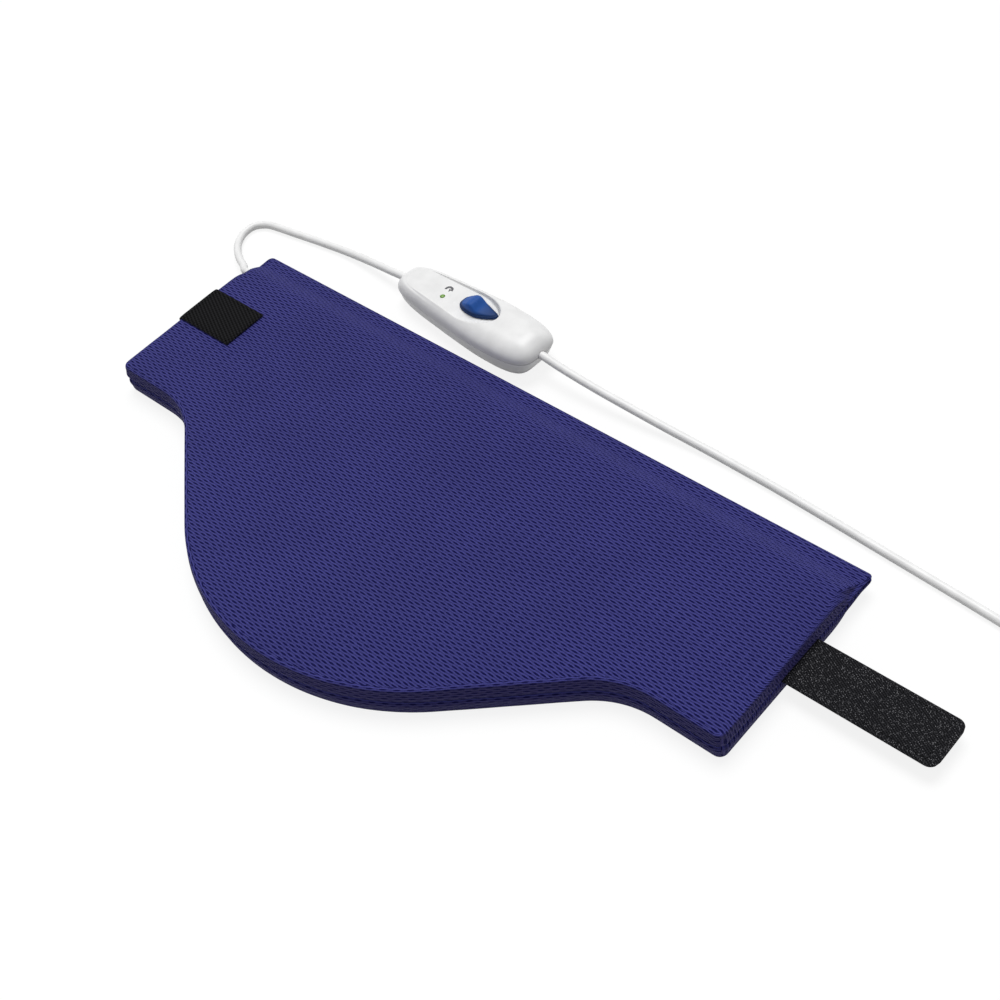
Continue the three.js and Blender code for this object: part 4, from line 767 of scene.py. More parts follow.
def add_floor(settings):
    """A wide level floor that looks white but for the object's soft shadow, and throws back little light."""
    material, tree = start_material("floor")
    tone = tree.mix(tree.noise(tree.object_place(), 3.0), (0.99, 0.99, 0.99, 1.0), (1.0, 1.0, 1.0, 1.0))
    lit = tree.node("BsdfDiffuse", {"Color": tone}).outputs[0]
    white = tree.node("Emission", {"Color": (1, 1, 1, 1), "Strength": 1.03}).outputs[0]
    shown = tree.node("MixShader", [0.82, lit, white]).outputs[0]
    dull = tree.node("BsdfDiffuse", {"Color": rgb([settings.floor_bounce] * 3)}).outputs[0]
    tree.show(tree.node("MixShader", [seen_factor(tree), dull, shown]).outputs[0])
    half_width, count = 6.0, 13
    side = np.linspace(-half_width, half_width, count)
    plan = np.stack(np.meshgrid(side, side, indexing="ij"), axis=-1).reshape(-1, 2)
    mesh = bpy.data.meshes.new("floor")
    mesh.from_pydata(raised(plan, 0.0).tolist(), [], grid_quads(count, count, False).tolist())
    mesh.materials.append(material)
    linked("floor", mesh)


def add_world(scene, settings):
    """Even light from all round, seen as plain white."""
    world = bpy.data.worlds.new("studio")
    world.use_nodes = True
    scene.world = world
    tree = Tree(world.node_tree)
    even, white = (tree.node("Background", {"Color": (1, 1, 1, 1), "Strength": strength}).outputs[0]
                   for strength in (settings.world_strength, 1.0))
    tree.show(tree.node("MixShader", [seen_factor(tree), even, white]).outputs[0], "OutputWorld")


def add_sun(settings):
    """One wide soft light from behind and above the pad, even all over the stage."""
    sun = linked("key light", bpy.data.lights.new("key light", "SUN"))
    sun.data.energy = settings.sun_strength
    sun.data.angle = settings.sun_spread
    back = unit(np.array(SUN_FROM))
    right = unit(np.cross([0.0, 1.0, 0.0], back))
    sun.matrix_world = Matrix((right, np.cross(back, right), back)).transposed().to_4x4()


# Cords

CONTROL_END = 65.3
CORD_INSIDE = 49.0
LEAD_HEIGHT, MAINS_HEIGHT = 11.1, 15.5
CORD_GAP = 0.3
LEAD_ROUTE = [
    [-255.6, 103.6, 9.6], [-266.5, 108.8, 7.2], [-277, 115.4, 4.9], [-285.6, 123.6, 3.3],
    [-290, 133, 2.9], [-289.2, 142.4, 2.9], [-281.8, 148.6, 2.9], [-271, 151, 2.9],
    [-259.6, 152.6, 2.9], [-244.9, 154.8, 2.9], [-229.5, 156.8, 3], [-214.6, 158.4, 3.3],
    [-197.7, 158.9, 4.6], [-179.9, 158.3, 6.8], [-161.9, 157.2, 9.2],
]
MAINS_ROUTE = [
    [-1.5, 146.3, 14.4], [25.3, 145.8, 12.2], [52.1, 146.4, 9.6], [78.9, 147.6, 6.6], [109.6, 148.9, 3.9],
    [132.6, 148.8, 2.9], [157.5, 148, 2.8], [203.5, 145.3, 2.8], [237.9, 142.9, 2.8], [276.3, 140.3, 2.8],
    [306.9, 138, 2.8], [331.8, 135.8, 3],
]
TAIL_ROUTE = [[413.4, 197, 9], [407, 215, 6], [396, 228, 3.8], [382, 235.4, 3.2], [366, 237.4, 4.6]]
COIL_CENTRE = (372.0, 175.0)
COIL_LIFT = 1.2


def control_point(local):
    """A point of the control's own frame, turned and moved to where the control lies."""
    local = np.asarray(local, float)
    turn_cos, turn_sin = math.cos(CONTROL_TURN), math.sin(CONTROL_TURN)
    x = CONTROL_CENTRE[0] + turn_cos * local[..., 0] - turn_sin * local[..., 1]
    y = CONTROL_CENTRE[1] + turn_sin * local[..., 0] + turn_cos * local[..., 1]
    return np.stack([x, y, local[..., 2]], axis=-1)


def coil_points(settings, per_turn=48):
    """A spiral in on the lower layer and out on the upper one. From the middle of the winding the radius
    grows by the pitch per turn, softened where it turns round, and the height climbs in half a turn."""
    sweep = settings.coil_turns * 2 * math.pi
    done = np.linspace(0, 1, int(settings.coil_turns * per_turn) + 1)
    from_middle = (done - 0.5) * sweep
    angle = done * sweep - math.pi / 2
    soft = math.pi / 4
    wound = np.hypot(from_middle, soft) - soft
    radius = (settings.coil_radius + settings.coil_pitch * wound / (2 * math.pi)) / MM
    climb = blend_between(-math.pi / 2, math.pi / 2, from_middle)
    height = COIL_LIFT + (settings.diameter / 2 + settings.coil_rise * climb) / MM
    return points_from(COIL_CENTRE[0] + radius * np.cos(angle), COIL_CENTRE[1] + radius * np.sin(angle),
                       height)


class HEATPAD_OT_cords(bpy.types.Operator):
    """Build the lead cord between pad and control, and the mains cord with its coil, tie and plug"""

    bl_idname = "heating_pad.cords"
    bl_label = "Cords"

    def execute(self, context):
        settings = context.scene.heating_pad_cord
        add_lead_cord(settings)
        add_plug_body()
        add_relief()
        add_pins()
        add_tie(settings)
        add_mains_cord(settings)
        return {"FINISHED"}


def cord_piece(name, points, settings, replaces):
    """A round cord along a smooth route, its sheath a circle carried along it."""
    path = spaced(smooth_route(points), step=2.5)
    piece = add_loft(name, tube_rings(path, settings.diameter / MM / 2, 20), sharp=60)
    finish_piece(piece, "cord sheath", "root", replaces)
    return piece, path, float(np.linalg.norm(np.diff(path, axis=0), axis=1).sum())


def add_lead_cord(settings):
    middle = (BUSHING_LOW + BUSHING_HIGH) / 2
    start = np.array([BUSHING_LOW[0] - CORD_GAP, middle[1], middle[2]])
    points = [start, start - [settings.diameter / MM, 0, 0], *LEAD_ROUTE,
              control_point([-CONTROL_END, 0, LEAD_HEIGHT]), control_point([-CORD_INSIDE, 0, LEAD_HEIGHT])]
    piece, path, run = cord_piece("lead_cord_sheath", points, settings, ["lead_cord"])


def add_mains_cord(settings):
    diameter = settings.diameter / MM
    coil = coil_points(settings)
    middle = (RELIEF_LOW + RELIEF_HIGH) / 2
    tip = np.array([RELIEF_HIGH[0] + CORD_GAP, middle[1], middle[2]])
    points = [control_point([CORD_INSIDE, 0, MAINS_HEIGHT]), control_point([CONTROL_END, 0, MAINS_HEIGHT]),
              *MAINS_ROUTE, coil[0] - [diameter, 0, 0], *coil[::2], coil[-1] + [0, diameter, 0], *TAIL_ROUTE,
              tip + [diameter, 0, 0], tip]
    piece, path, run = cord_piece("mains_cord_sheath", points, settings,
                                  ["mains_cord", "mains_cord_coil", "mains_cord_tail"])


def add_plug_body():
    """The flat plug: rounded oblong sections that widen towards the front, drawn in at both ends by a
    quarter circle."""
    middle, half = (PLUG_LOW + PLUG_HIGH) / 2, (PLUG_HIGH - PLUG_LOW) / 2
    rear_half_width, rear_round, front_round = 7.5, 1.6, 1.2
    along = np.concatenate([np.linspace(0, 0.1, 7), np.linspace(0.14, 0.9, 26), np.linspace(0.92, 1, 9)])
    drawn_in = rear_round * (1 - quarter_round(1 - np.clip(along / 0.07, 0, 1)))
    drawn_in += front_round * (1 - quarter_round(1 - np.clip((1 - along) / 0.035, 0, 1)))
    widen = blend_between(0.12, 0.78, along) ** 1.15
    width = rear_half_width + (half[1] - rear_half_width) * widen - drawn_in
    height = half[2] * (0.9 + 0.1 * blend_between(0, 0.3, along)) - drawn_in
    side, rise = squared_circle(turn_angles(72), 0.42, 0.5)
    rings = points_from((PLUG_HIGH[0] - along * 2 * half[0])[:, None], middle[1] + width[:, None] * side,
                        middle[2] + height[:, None] * rise)
    body = add_loft("plug_moulding", rings, sharp=50)
    finish_piece(body, "white moulding", "root", ["plug_body"])


def lying_lathe(profile, sides, start):
    """A body turned about an axis that runs from a start point towards -X."""
    return along_x(lathe_rings(profile, sides)) * [-1, 1, 1] + start


def add_relief():
    """The ribbed relief: a cone that widens to the plug, with grooves cut by the crests of a cosine."""
    root_radius = (RELIEF_HIGH[2] - RELIEF_LOW[2]) / 2
    tip_radius, ribs, groove, crest = root_radius * 0.8, 5, 0.9, 0.45
    places = np.linspace(0, 1, 121)
    taper = tip_radius + (root_radius - tip_radius) * places
    wave = np.cos((places * (ribs + 1) - 0.5) * 2 * math.pi)
    cut = np.clip(wave - crest, 0, 1) / (1 - crest)
    profile = np.stack([places * (RELIEF_HIGH[0] - RELIEF_LOW[0]), taper - groove * cut], axis=1)
    start = [RELIEF_HIGH[0], (PLUG_LOW[1] + PLUG_HIGH[1]) / 2, (RELIEF_LOW[2] + RELIEF_HIGH[2]) / 2]
    relief = add_loft("plug_relief", lying_lathe(profile, 40, start), sharp=50)
    finish_piece(relief, "white moulding", "root", ["plug_strain_relief"])


def add_pins():
    """The two pins, each with a sleeve let into its rear and a tip rounded by a quarter circle."""
    sleeve_start, sleeve_end, tip = 3.0, 13.0, 1.4
    curve = np.linspace(0, math.pi / 2, 8)
    for number, node in enumerate(("plug_pin_left", "plug_pin_right"), 1):
        low, high = box_of(node)
        radius, reach = (high[2] - low[2]) / 2, high[0] - low[0]
        sleeve = radius * 0.95
        profile = [[0, radius], [sleeve_start, radius], [sleeve_start + 0.01, sleeve],
                   [sleeve_end - 0.2, sleeve], [sleeve_end, radius]]
        profile += [[reach - tip + tip * math.sin(a), radius - tip + tip * math.cos(a)] for a in curve]
        start = [high[0], *(low[1:] + high[1:]) / 2]
        pin = add_loft(f"plug_pin_{number}", lying_lathe(profile, 32, start), sharp=35)
        finish_piece(pin, "nickel plate", "root", [node])
        pin.data.materials.append(finish("black moulding"))
        from_root = high[0] - np.array([face.center.x for face in pin.data.polygons]) / MM
        sleeved = (from_root > sleeve_start) & (from_root < sleeve_end)
        pin.data.polygons.foreach_set("material_index", sleeved.astype(np.int32))


def add_tie(settings):
    """The tie: an oblong loop with round corners about the bundle of turns, which stands upright across
    it, and a thin flat oval carried round the loop."""
    path = coil_points(settings)
    away = np.hypot(path[:, 0] - COIL_CENTRE[0], path[:, 1] - COIL_CENTRE[1])
    thickness, half_width, corner, gap, slack = 0.9, 3.5, 2.2, 0.3, 0.6
    clear = settings.diameter / MM / 2 + gap
    left, right = away.min() - clear - slack + corner, away.max() + clear - corner
    high = COIL_LIFT + settings.coil_rise / MM + settings.diameter / MM + gap - corner
    low = thickness + corner
    loop = np.vstack([arc(x, y, corner + thickness / 2, turn * math.pi / 2, (turn + 1) * math.pi / 2, 8)
                      for x, y, turn in ((left, low, 2), (right, low, 3), (right, high, 0), (left, high, 1))])
    loop = spaced(np.vstack([loop, loop[:1]]), step=1.2)[:-1]
    turn = math.radians(140)
    upright = np.array([[math.cos(turn), math.sin(turn), 0], [0, 0, 1]])
    level = np.array([-math.sin(turn), math.cos(turn), 0])
    rings = flat_band(np.array([*COIL_CENTRE, 0]) + loop @ upright, loop_outward(loop) @ upright,
                      half_width, thickness * 0.9, level)
    rows, columns = rings.shape[:2]
    quads = grid_quads(rows + 1, columns, True) % (rows * columns)
    piece = add_mesh("coil_band", rings, quads.tolist(), sharp=60)
    finish_piece(piece, "hook tape", "root", ["coil_tie"])


# Pad

PAD_COLUMNS = 140
PAD_ROWS = 38
TURN_WEIGHT = 14.0
PAD_LENGTHS = ("length", "depth", "wing_depth", "height", "bib_radius", "fillet_radius", "corner_radius",
               "edge_radius", "foot_radius", "bulge", "end_bulge", "cord_end_bulge", "hem_depth", "slope_run")


def pad_sizes(settings):
    """The pad's driving sizes in millimetres."""
    return {name: getattr(settings, name) / MM for name in PAD_LENGTHS}


def pad_ring(size, side_inset, hem_inset, hem_corner, tip=0.0, dip=0.0):
    """The pad's outline in plan as (N, 2) points, in four stretches that meet at the corners' middles:
    the front with its bib, the right end, the hem and the left end. The front's arcs, fillets and flanks
    are drawn in by side_inset, the hem by hem_inset, and the ends let out by tip at the hem and drawn in
    by dip just before it."""
    lean_depth = 12
    end_x = size["length"] / 2 - side_inset
    hem_y = size["depth"] / 2 - hem_inset
    wing_y = size["depth"] / 2 - size["wing_depth"]
    front_y = wing_y + side_inset
    flank = math.radians(41)
    both = size["bib_radius"] + size["fillet_radius"]
    drop = size["depth"] - size["wing_depth"] - both * (1 - math.cos(flank))
    fillet_x = both * math.sin(flank) + drop / math.tan(flank)
    fillet_y = wing_y - size["fillet_radius"]
    bib_y = -size["depth"] / 2 + size["bib_radius"]
    corner = max(size["corner_radius"] - side_inset, size["corner_radius"] / 4)
    fillet, bib = size["fillet_radius"] + side_inset, size["bib_radius"] - side_inset
    right = math.pi / 2
    front = np.vstack([
        arc(-end_x + corner, front_y + corner, corner, -1.5 * right, -right),
        arc(-fillet_x, fillet_y, fillet, right, right - flank, 40),
        arc(0, bib_y, bib, -right - flank, -right + flank, 120),
        arc(fillet_x, fillet_y, fillet, right + flank, right, 40),
        arc(end_x - corner, front_y + corner, corner, -right, -right / 2),
    ])
    reach = end_x + tip
    flare = np.linspace(0, 1, 16)[:, None]
    lean_y = hem_y - hem_corner - lean_depth * (1 - flare)
    lean_x = end_x + tip * blend_between(0, 1, flare) - dip * np.sin(math.pi * flare) ** 2
    end = np.vstack([
        arc(end_x - corner, front_y + corner, corner, -right / 2, 0),
        np.hstack([lean_x, lean_y]),
        arc(reach - hem_corner, hem_y - hem_corner, hem_corner, 0, right / 2),
    ])
    hem = np.vstack([
        arc(reach - hem_corner, hem_y - hem_corner, hem_corner, right / 2, right),
        arc(-reach + hem_corner, hem_y - hem_corner, hem_corner, right, 1.5 * right),
    ])
    back = end[::-1] * [-1, 1]
    stretches = [spaced_by_turn(line, count, TURN_WEIGHT)[:-1] for line, count in (
        (front, PAD_COLUMNS + 1), (end, PAD_ROWS + 1), (hem, PAD_COLUMNS + 1), (back, PAD_ROWS + 1))]
    return np.vstack(stretches)


def coons(ring):
    """A grid filled between the four stretches of a ring: the two straight blends of facing stretches,
    added, less the straight blend of the corners."""
    columns, rows = PAD_COLUMNS, PAD_ROWS
    front = ring[:columns + 1]
    right = ring[columns:columns + rows + 1]
    hem = ring[columns + rows:2 * columns + rows + 1][::-1]
    left = np.vstack([ring[2 * columns + rows:], ring[:1]])[::-1]
    s = np.linspace(0, 1, columns + 1)[None, :, None]
    t = np.linspace(0, 1, rows + 1)[:, None, None]
    across = (1 - t) * front[None] + t * hem[None]
    along = (1 - s) * left[:, None] + s * right[:, None]
    corners = ((1 - t) * ((1 - s) * front[0] + s * front[-1]) + t * ((1 - s) * hem[0] + s * hem[-1]))
    return across + along - corners


def slope_inset(size, height):
    """How far in from the hem the slope stands at a height above the middle: the hem, then the slope's run
    times (0.75 t + 0.25 t squared) of the climb t."""
    hem_top = 1.8
    t = np.clip((height - hem_top) / (size["height"] / 2 - hem_top), 0, 1)
    return size["hem_depth"] + size["slope_run"] * (0.75 * t + 0.25 * t * t)


def pad_levels(size):
    """Rings of half a cover from the seam up to the flat top. Each row holds the inset at the sides, the
    height there, the inset at the hem, the height there, and how far the hem's tips stand out. Up to the
    edge's rounding the rows are listed, and over it they follow a quarter circle."""
    radius, half = size["edge_radius"], size["height"] / 2
    foot, slope_foot, settle, tip = half - radius, 2.4, 2.75, 0.8
    rows = [
        [1.2, 0.0, 0.6, 0.0, 2.2],
        [0.2, 0.5, 0.0, 0.7, 2.8],
        [-0.7, 1.6, 0.3, 1.5, 3.0],
        [-1.0, 3.0, 3.0, 2.0, 2.6],
        [-0.8, 4.4, 6.0, 2.15, 2.0],
        [-0.3, 5.8, 8.4, 2.25, 1.4],
    ]
    for angle in np.linspace(0, math.pi / 2, 7):
        height = foot + radius * math.sin(angle)
        hem_height = slope_foot + (half - slope_foot) * (height - foot) / (half - foot)
        inset = slope_inset(size, hem_height) + settle * (angle / (math.pi / 2)) ** 3
        rows.append([radius * (1 - math.cos(angle)), height, inset, hem_height, tip * math.cos(angle)])
    return np.array(rows)


def pad_half(size):
    """Rings (K, N, 3) from the seam to the crest, as heights above the pad's middle, and the grid that
    fills the crest. The filling pushes the outline out by the bulge in front and by the end's bulge at
    either end, of which the cord's end is drawn back to its own. Near the hem's tips a ring passes from
    its height at the sides to that at the hem."""
    bulge, end_bulge = size["bulge"], size["end_bulge"]
    hem_corner, dip, tip_depth, tip_end = 2.2, 0.3, 38, 1.5
    plan_size = {**size, "length": size["length"] + 2 * (end_bulge - bulge)}
    rings = []
    for side_inset, side_height, hem_inset, hem_height, tip in pad_levels(size):
        plan = pad_ring(plan_size, side_inset - bulge, hem_inset, hem_corner, tip - end_bulge, dip)
        near_cord = blend_between(size["length"] / 4, size["length"] / 2, -plan[:, 0])
        plan[:, 0] += (end_bulge - size["cord_end_bulge"]) * near_cord
        hem_y = size["depth"] / 2
        t = blend_between(hem_y - tip_depth, hem_y - hem_inset - tip_end, plan[:, 1])
        rings.append(raised(plan, side_height + (hem_height - side_height) * t))
    return np.array(rings), coons(rings[-1])


def soft_waves(points):
    """Slight unevenness of the fabric: four crossed sines of 30 to 90 mm wavelength, 0.10 mm each."""
    x, y = points[..., 0], points[..., 1]
    total = np.zeros_like(x)
    for wave, turn, start in ((86, 0.3, 0.0), (53, 1.4, 1.1), (41, 2.3, 2.0), (31, 0.9, 4.2)):
        total += np.sin((x * math.cos(turn) + y * math.sin(turn)) * 2 * math.pi / wave + start)
    return 0.10 * total


def edge_places():
    """Numbers of the outer points of the grid that fills a ring, in the ring's order."""
    columns, rows = PAD_COLUMNS, PAD_ROWS
    return np.concatenate([
        np.arange(columns),
        np.arange(rows) * (columns + 1) + columns,
        rows * (columns + 1) + np.arange(columns, 0, -1),
        np.arange(rows, 0, -1) * (columns + 1),
    ])


def half_pad_mesh(size):
    """Half of the pad as one open mesh, from the seam to the crest, whose grid stands for the last ring.
    Gives its points and quads, and the rings and the grid that they come from."""
    rings, grid = pad_half(size)
    count, around = rings.shape[:2]
    below = (count - 1) * around
    points = np.vstack([rings[:-1].reshape(-1, 3), grid.reshape(-1, 3)])
    numbers = np.concatenate([np.arange(below), below + edge_places()])
    walls = numbers[grid_quads(count, around, True)]
    top = grid_quads(PAD_ROWS + 1, PAD_COLUMNS + 1, False) + below
    return points, np.vstack([walls, top]), rings, grid


def held_share(points, size):
    """1 where sewing holds the fabric, at the seam, on the hem and round the patch, 0.8 on the walls, which
    the filling's cut edge holds square, and 0 elsewhere."""
    x, y, height = points[:, 0], points[:, 1], np.abs(points[:, 2])
    crest = size["height"] / 2
    seam = 1 - 0.2 * blend_between(0.0, 3.0, height) - 0.8 * blend_between(crest - 1.2, crest - 0.3, height)
    hem = blend_between(size["depth"] / 2 - 24, size["depth"] / 2 - 9, y)
    middle_y = (PATCH_LOW[1] + PATCH_HIGH[1]) / 2
    half_width = (PATCH_HIGH[1] - PATCH_LOW[1]) / 2
    patch = 1 - blend_between(PATCH_HIGH[0] + 5, PATCH_HIGH[0] + 25, x)
    patch *= 1 - blend_between(half_width + 2, half_width + 20, np.abs(y - middle_y))
    patch *= points[:, 2] > 0
    return np.maximum(np.maximum(seam, hem), patch)


CLOTH = {"quality": 5, "mass": 0.15, "tension_stiffness": 12, "compression_stiffness": 12,
         "bending_stiffness": 0.8, "use_pressure": True, "uniform_pressure_force": 4.0,
         "vertex_group_mass": "held", "pin_stiffness": 1.0}
CLOTH_FRAMES = 20


def puffed(points, quads, held, limit):
    """The closed pad after some frames of cloth held where held says and pressed from inside, no gravity.
    Of each point's way the part along its outward normal counts, bent by a hyperbolic tangent to stay under
    limit."""
    blank = add_mesh("pad_blank", points, quads.tolist())
    outward = np.zeros(len(points) * 3)
    blank.data.vertices.foreach_get("normal", outward)
    outward = outward.reshape(-1, 3)
    group = blank.vertex_groups.new(name="held")
    for level in np.linspace(0.1, 1.0, 10):
        chosen = np.flatnonzero(np.abs(held - level) <= 0.05)
        group.add(chosen.tolist(), float(level), "REPLACE")
    cloth = blank.modifiers.new("Cloth", "CLOTH")
    for name, value in CLOTH.items():
        setattr(cloth.settings, name, value)
    cloth.settings.effector_weights.gravity = 0.0
    cloth.collision_settings.use_collision = False
    cloth.point_cache.frame_start, cloth.point_cache.frame_end = 1, CLOTH_FRAMES
    scene = bpy.context.scene
    for number in range(1, CLOTH_FRAMES + 1):
        scene.frame_set(number)
    evaluated = blank.evaluated_get(bpy.context.evaluated_depsgraph_get())
    moved = np.zeros(len(points) * 3)
    evaluated.data.vertices.foreach_get("co", moved)
    moved = moved.reshape(-1, 3) / MM - points
    bpy.data.objects.remove(blank)
    scene.frame_set(1)
    far = np.maximum((moved * outward).sum(axis=1), 0)
    return points + outward * (limit * np.tanh(far / limit) * (1 - held**2))[:, None]


def fabric_map(rings, grid):
    """UV corners in metres, so that the knit keeps its scale. On the crest they are X and Y. Down the ends
    and over the hem the rows run on, so the way down from the crest is added to X or to Y. Down the front
    and the bib's walls the rows run along the wall: the way along the front, and the way down, set apart
    from the crest's."""
    columns, rows, apart = PAD_COLUMNS, PAD_ROWS, 1000
    closed = np.concatenate([rings, rings[:, :1]], axis=1)
    steps = np.linalg.norm(np.diff(closed, axis=0), axis=2)
    down = np.zeros(closed.shape[:2])
    down[:-1] = np.cumsum(steps[::-1], axis=0)[::-1]
    crest = closed[-1]
    run = np.concatenate([[0], np.cumsum(np.linalg.norm(np.diff(crest[:, :2], axis=0), axis=1))])
    corners = np.cumsum([0, columns, rows, columns, rows])
    count = len(rings)
    wall = np.zeros((count - 1, closed.shape[1] - 1, 4, 2))
    for stretch, (first, last) in enumerate(zip(corners[:-1], corners[1:])):
        place = slice(first, last + 1)
        if stretch == 0:
            u = np.broadcast_to(run[place] - run[columns] / 2, down[:, place].shape)
            v = -down[:, place] - apart
        elif stretch == 2:
            u = np.broadcast_to(crest[place, 0], down[:, place].shape)
            v = crest[place, 1] + down[:, place]
        else:
            u = crest[place, 0] + (1 if stretch == 1 else -1) * down[:, place]
            v = np.broadcast_to(crest[place, 1], down[:, place].shape)
        uv = np.stack([u, v], axis=-1)
        wall[:, first:last] = np.stack([uv[:-1, :-1], uv[:-1, 1:], uv[1:, 1:], uv[1:, :-1]], axis=2)
    flat = grid.reshape(-1, 3)[grid_quads(rows + 1, columns + 1, False)][..., :2]
    return np.vstack([wall.reshape(-1, 4, 2), flat]) * MM


def cover_piece(name, points, quads, uv, flip, settings, replaces):
    """One cover as a shell: the outer surface, its UVs, one subdivision, then a wall of fabric inwards."""
    if flip:
        quads, uv = quads[:, ::-1], uv[:, ::-1]
    mesh = bpy.data.meshes.new(name)
    mesh.from_pydata((points * MM).tolist(), [], quads.tolist())
    mesh.uv_layers.new(name="fabric").data.foreach_set("uv", uv.reshape(-1))
    mesh.shade_smooth()
    piece = linked(name, mesh)
    smooth = piece.modifiers.new("Smooth", "SUBSURF")
    smooth.levels = smooth.render_levels = 1
    wall = piece.modifiers.new("Fabric", "SOLIDIFY")
    wall.thickness = settings.fabric
    wall.offset = -1.0
    apply_modifiers(piece)
    finish_piece(piece, "mesh fabric", "root", replaces)


class HEATPAD_OT_covers(bpy.types.Operator):
    """Build the upper and lower mesh covers, puffed by their filling"""

    bl_idname = "heating_pad.covers"
    bl_label = "Covers"

    def execute(self, context):
        settings = context.scene.heating_pad_fabric
        size = pad_sizes(settings)
        upper_points, half_quads, rings, grid = half_pad_mesh(size)
        lower_points, _, lower_rings, lower_grid = half_pad_mesh({**size, "edge_radius": size["foot_radius"]})
        seam_count, point_count = rings.shape[1], len(upper_points)
        below = point_count + np.arange(point_count - seam_count)
        numbers = np.concatenate([np.arange(seam_count), below])
        whole = np.vstack([upper_points, lower_points[seam_count:] * [1, 1, -1]])
        quads = np.vstack([half_quads, numbers[half_quads][:, ::-1]])
        middle, room, floor_gap, most_over, seam_gap = size["height"] / 2, 0.7, 0.05, 1.6, 0.06
        held = held_share(whole, size)
        highest = middle - room * (1 - held)
        whole[:, 2] = np.sign(whole[:, 2]) * np.minimum(np.abs(whole[:, 2]), highest)
        shaped = puffed(whole, quads, held, settings.puff / MM)
        height = shaped[:, 2]
        waves = soft_waves(shaped) * (1 - held) * np.sign(height) * blend_between(5, 10, np.abs(height))
        shaped[:, 2] = np.clip(height + waves + middle, floor_gap, size["height"] + most_over)
        for name, node, points, uv, side in (
            ("top_cover_fabric", "top_cover", shaped[:point_count].copy(), fabric_map(rings, grid), 1),
            ("bottom_cover_fabric", "bottom_cover", shaped[numbers], fabric_map(lower_rings, lower_grid), -1),
        ):
            points[:seam_count, 2] += side * seam_gap
            cover_piece(name, points, half_quads, uv, side < 0, settings, [node])
        return {"FINISHED"}


def slab_piece(name, size, margin, hem_margin, low, high, dent):
    """A flat filling layer: rings rounded over its edge between a lower and an upper grid, the lower one
    dented where dent gives a height."""
    middle, half = (low + high) / 2, (high - low) / 2
    edge, hem_corner = min(2.0, half), 6.0
    rings = []
    for angle in np.linspace(-math.pi / 2, math.pi / 2, 9):
        inset = edge * (1 - math.cos(angle))
        plan = pad_ring(size, margin + inset, hem_margin + inset, hem_corner)
        rings.append(raised(plan, middle + half * math.sin(angle)))
    rings = np.array(rings)
    count, around = rings.shape[:2]
    top, bottom = coons(rings[-1]), coons(rings[0])
    bottom[..., 2] += dent(bottom[..., 0], bottom[..., 1])
    grid = grid_quads(PAD_ROWS + 1, PAD_COLUMNS + 1, False)
    top_first = (count - 2) * around
    bottom_first = top_first + top.shape[0] * top.shape[1]
    points = np.vstack([rings[1:-1].reshape(-1, 3), top.reshape(-1, 3), bottom.reshape(-1, 3)])
    numbers = np.concatenate([bottom_first + edge_places(), np.arange(top_first), top_first + edge_places()])
    walls = numbers[grid_quads(count, around, True)]
    return add_mesh(name, points, np.vstack([walls, grid + top_first, grid[:, ::-1] + bottom_first]).tolist())


class HEATPAD_OT_filling(bpy.types.Operator):
    """Build the two layers of wadding and the fleece that carries the heating cord"""

    bl_idname = "heating_pad.filling"
    bl_label = "Filling"

    def execute(self, context):
        size = pad_sizes(context.scene.heating_pad_fabric)
        joint_low, joint_high = box_of("joint_cover")
        cutout_high = box_of("thermal_cutout")[1]
        top_low = box_of("top_wadding")[0][2]

        def pocket(x, y):
            """A flat-topped hollow over the joint and its cord, with soft sides."""
            along = blend_between(joint_low[0] - 30, joint_low[0] - 20, x)
            along *= 1 - blend_between(cutout_high[0] + 5, cutout_high[0] + 14, x)
            across = blend_between(joint_low[1] - 9, joint_low[1] - 1, y)
            return (joint_high[2] + 0.3 - top_low) * along * across

        def flat(x, y):
            return 0.0

        for name, node, material, slot, dent in (
            ("bottom_wadding_batt", "bottom_wadding", "wadding", "wadding", flat),
            ("heater_fleece", "heater_carrier", "fleece", "carrier_fleece", flat),
            ("top_wadding_batt", "top_wadding", "wadding", "wadding", pocket),
        ):
            low, high = box_of(node)
            margin, hem_margin = size["length"] / 2 - high[0], size["depth"] / 2 - high[1]
            piece = slab_piece(name, size, margin, hem_margin, low[2], high[2], dent)
            finish_piece(piece, material, "root", [node])
        return {"FINISHED"}


ACROSS, UP = np.array([0.0, 1.0, 0.0]), np.array([0.0, 0.0, 1.0])


def sewn_box(name, low, high, height, body):
    """Stitches at equal steps round an oblong at one height. Each is a small pillow of 5 rings of 6
    points, swollen along its length like a circle, which lies along the seam."""
    step, rise, half_length, half_width = 3.2, 0.28, 1.1, 0.32
    count, sides = 5, 6
    corners = [[low[0], low[1]], [high[0], low[1]], [high[0], high[1]], [low[0], high[1]], [low[0], low[1]]]
    line = raised(spaced(corners, step=step), height)
    ahead = unit(np.diff(line, axis=0))
    axes = np.stack([ahead, np.cross(UP, ahead), np.broadcast_to(UP, ahead.shape)], axis=1)
    place = np.linspace(-1, 1, count)[:, None]
    swell = np.sqrt(np.clip(1 - place**2, 0.02, 1))
    angle = turn_angles(sides)
    pillow = points_from(place * half_length, swell * np.cos(angle) * half_width,
                         swell * np.sin(angle) * rise)
    points = line[:-1, None, None] + np.einsum("rsi,nij->nrsj", pillow, axes)
    faces = grid_quads(count, sides, True).tolist()
    faces += [list(range(sides - 1, -1, -1)), list(range((count - 1) * sides, count * sides))]
    faces = [[corner + count * sides * number for corner in face] for number in range(len(axes))
             for face in faces]
    finish_piece(add_mesh(name, points, faces), "loop tape", body)


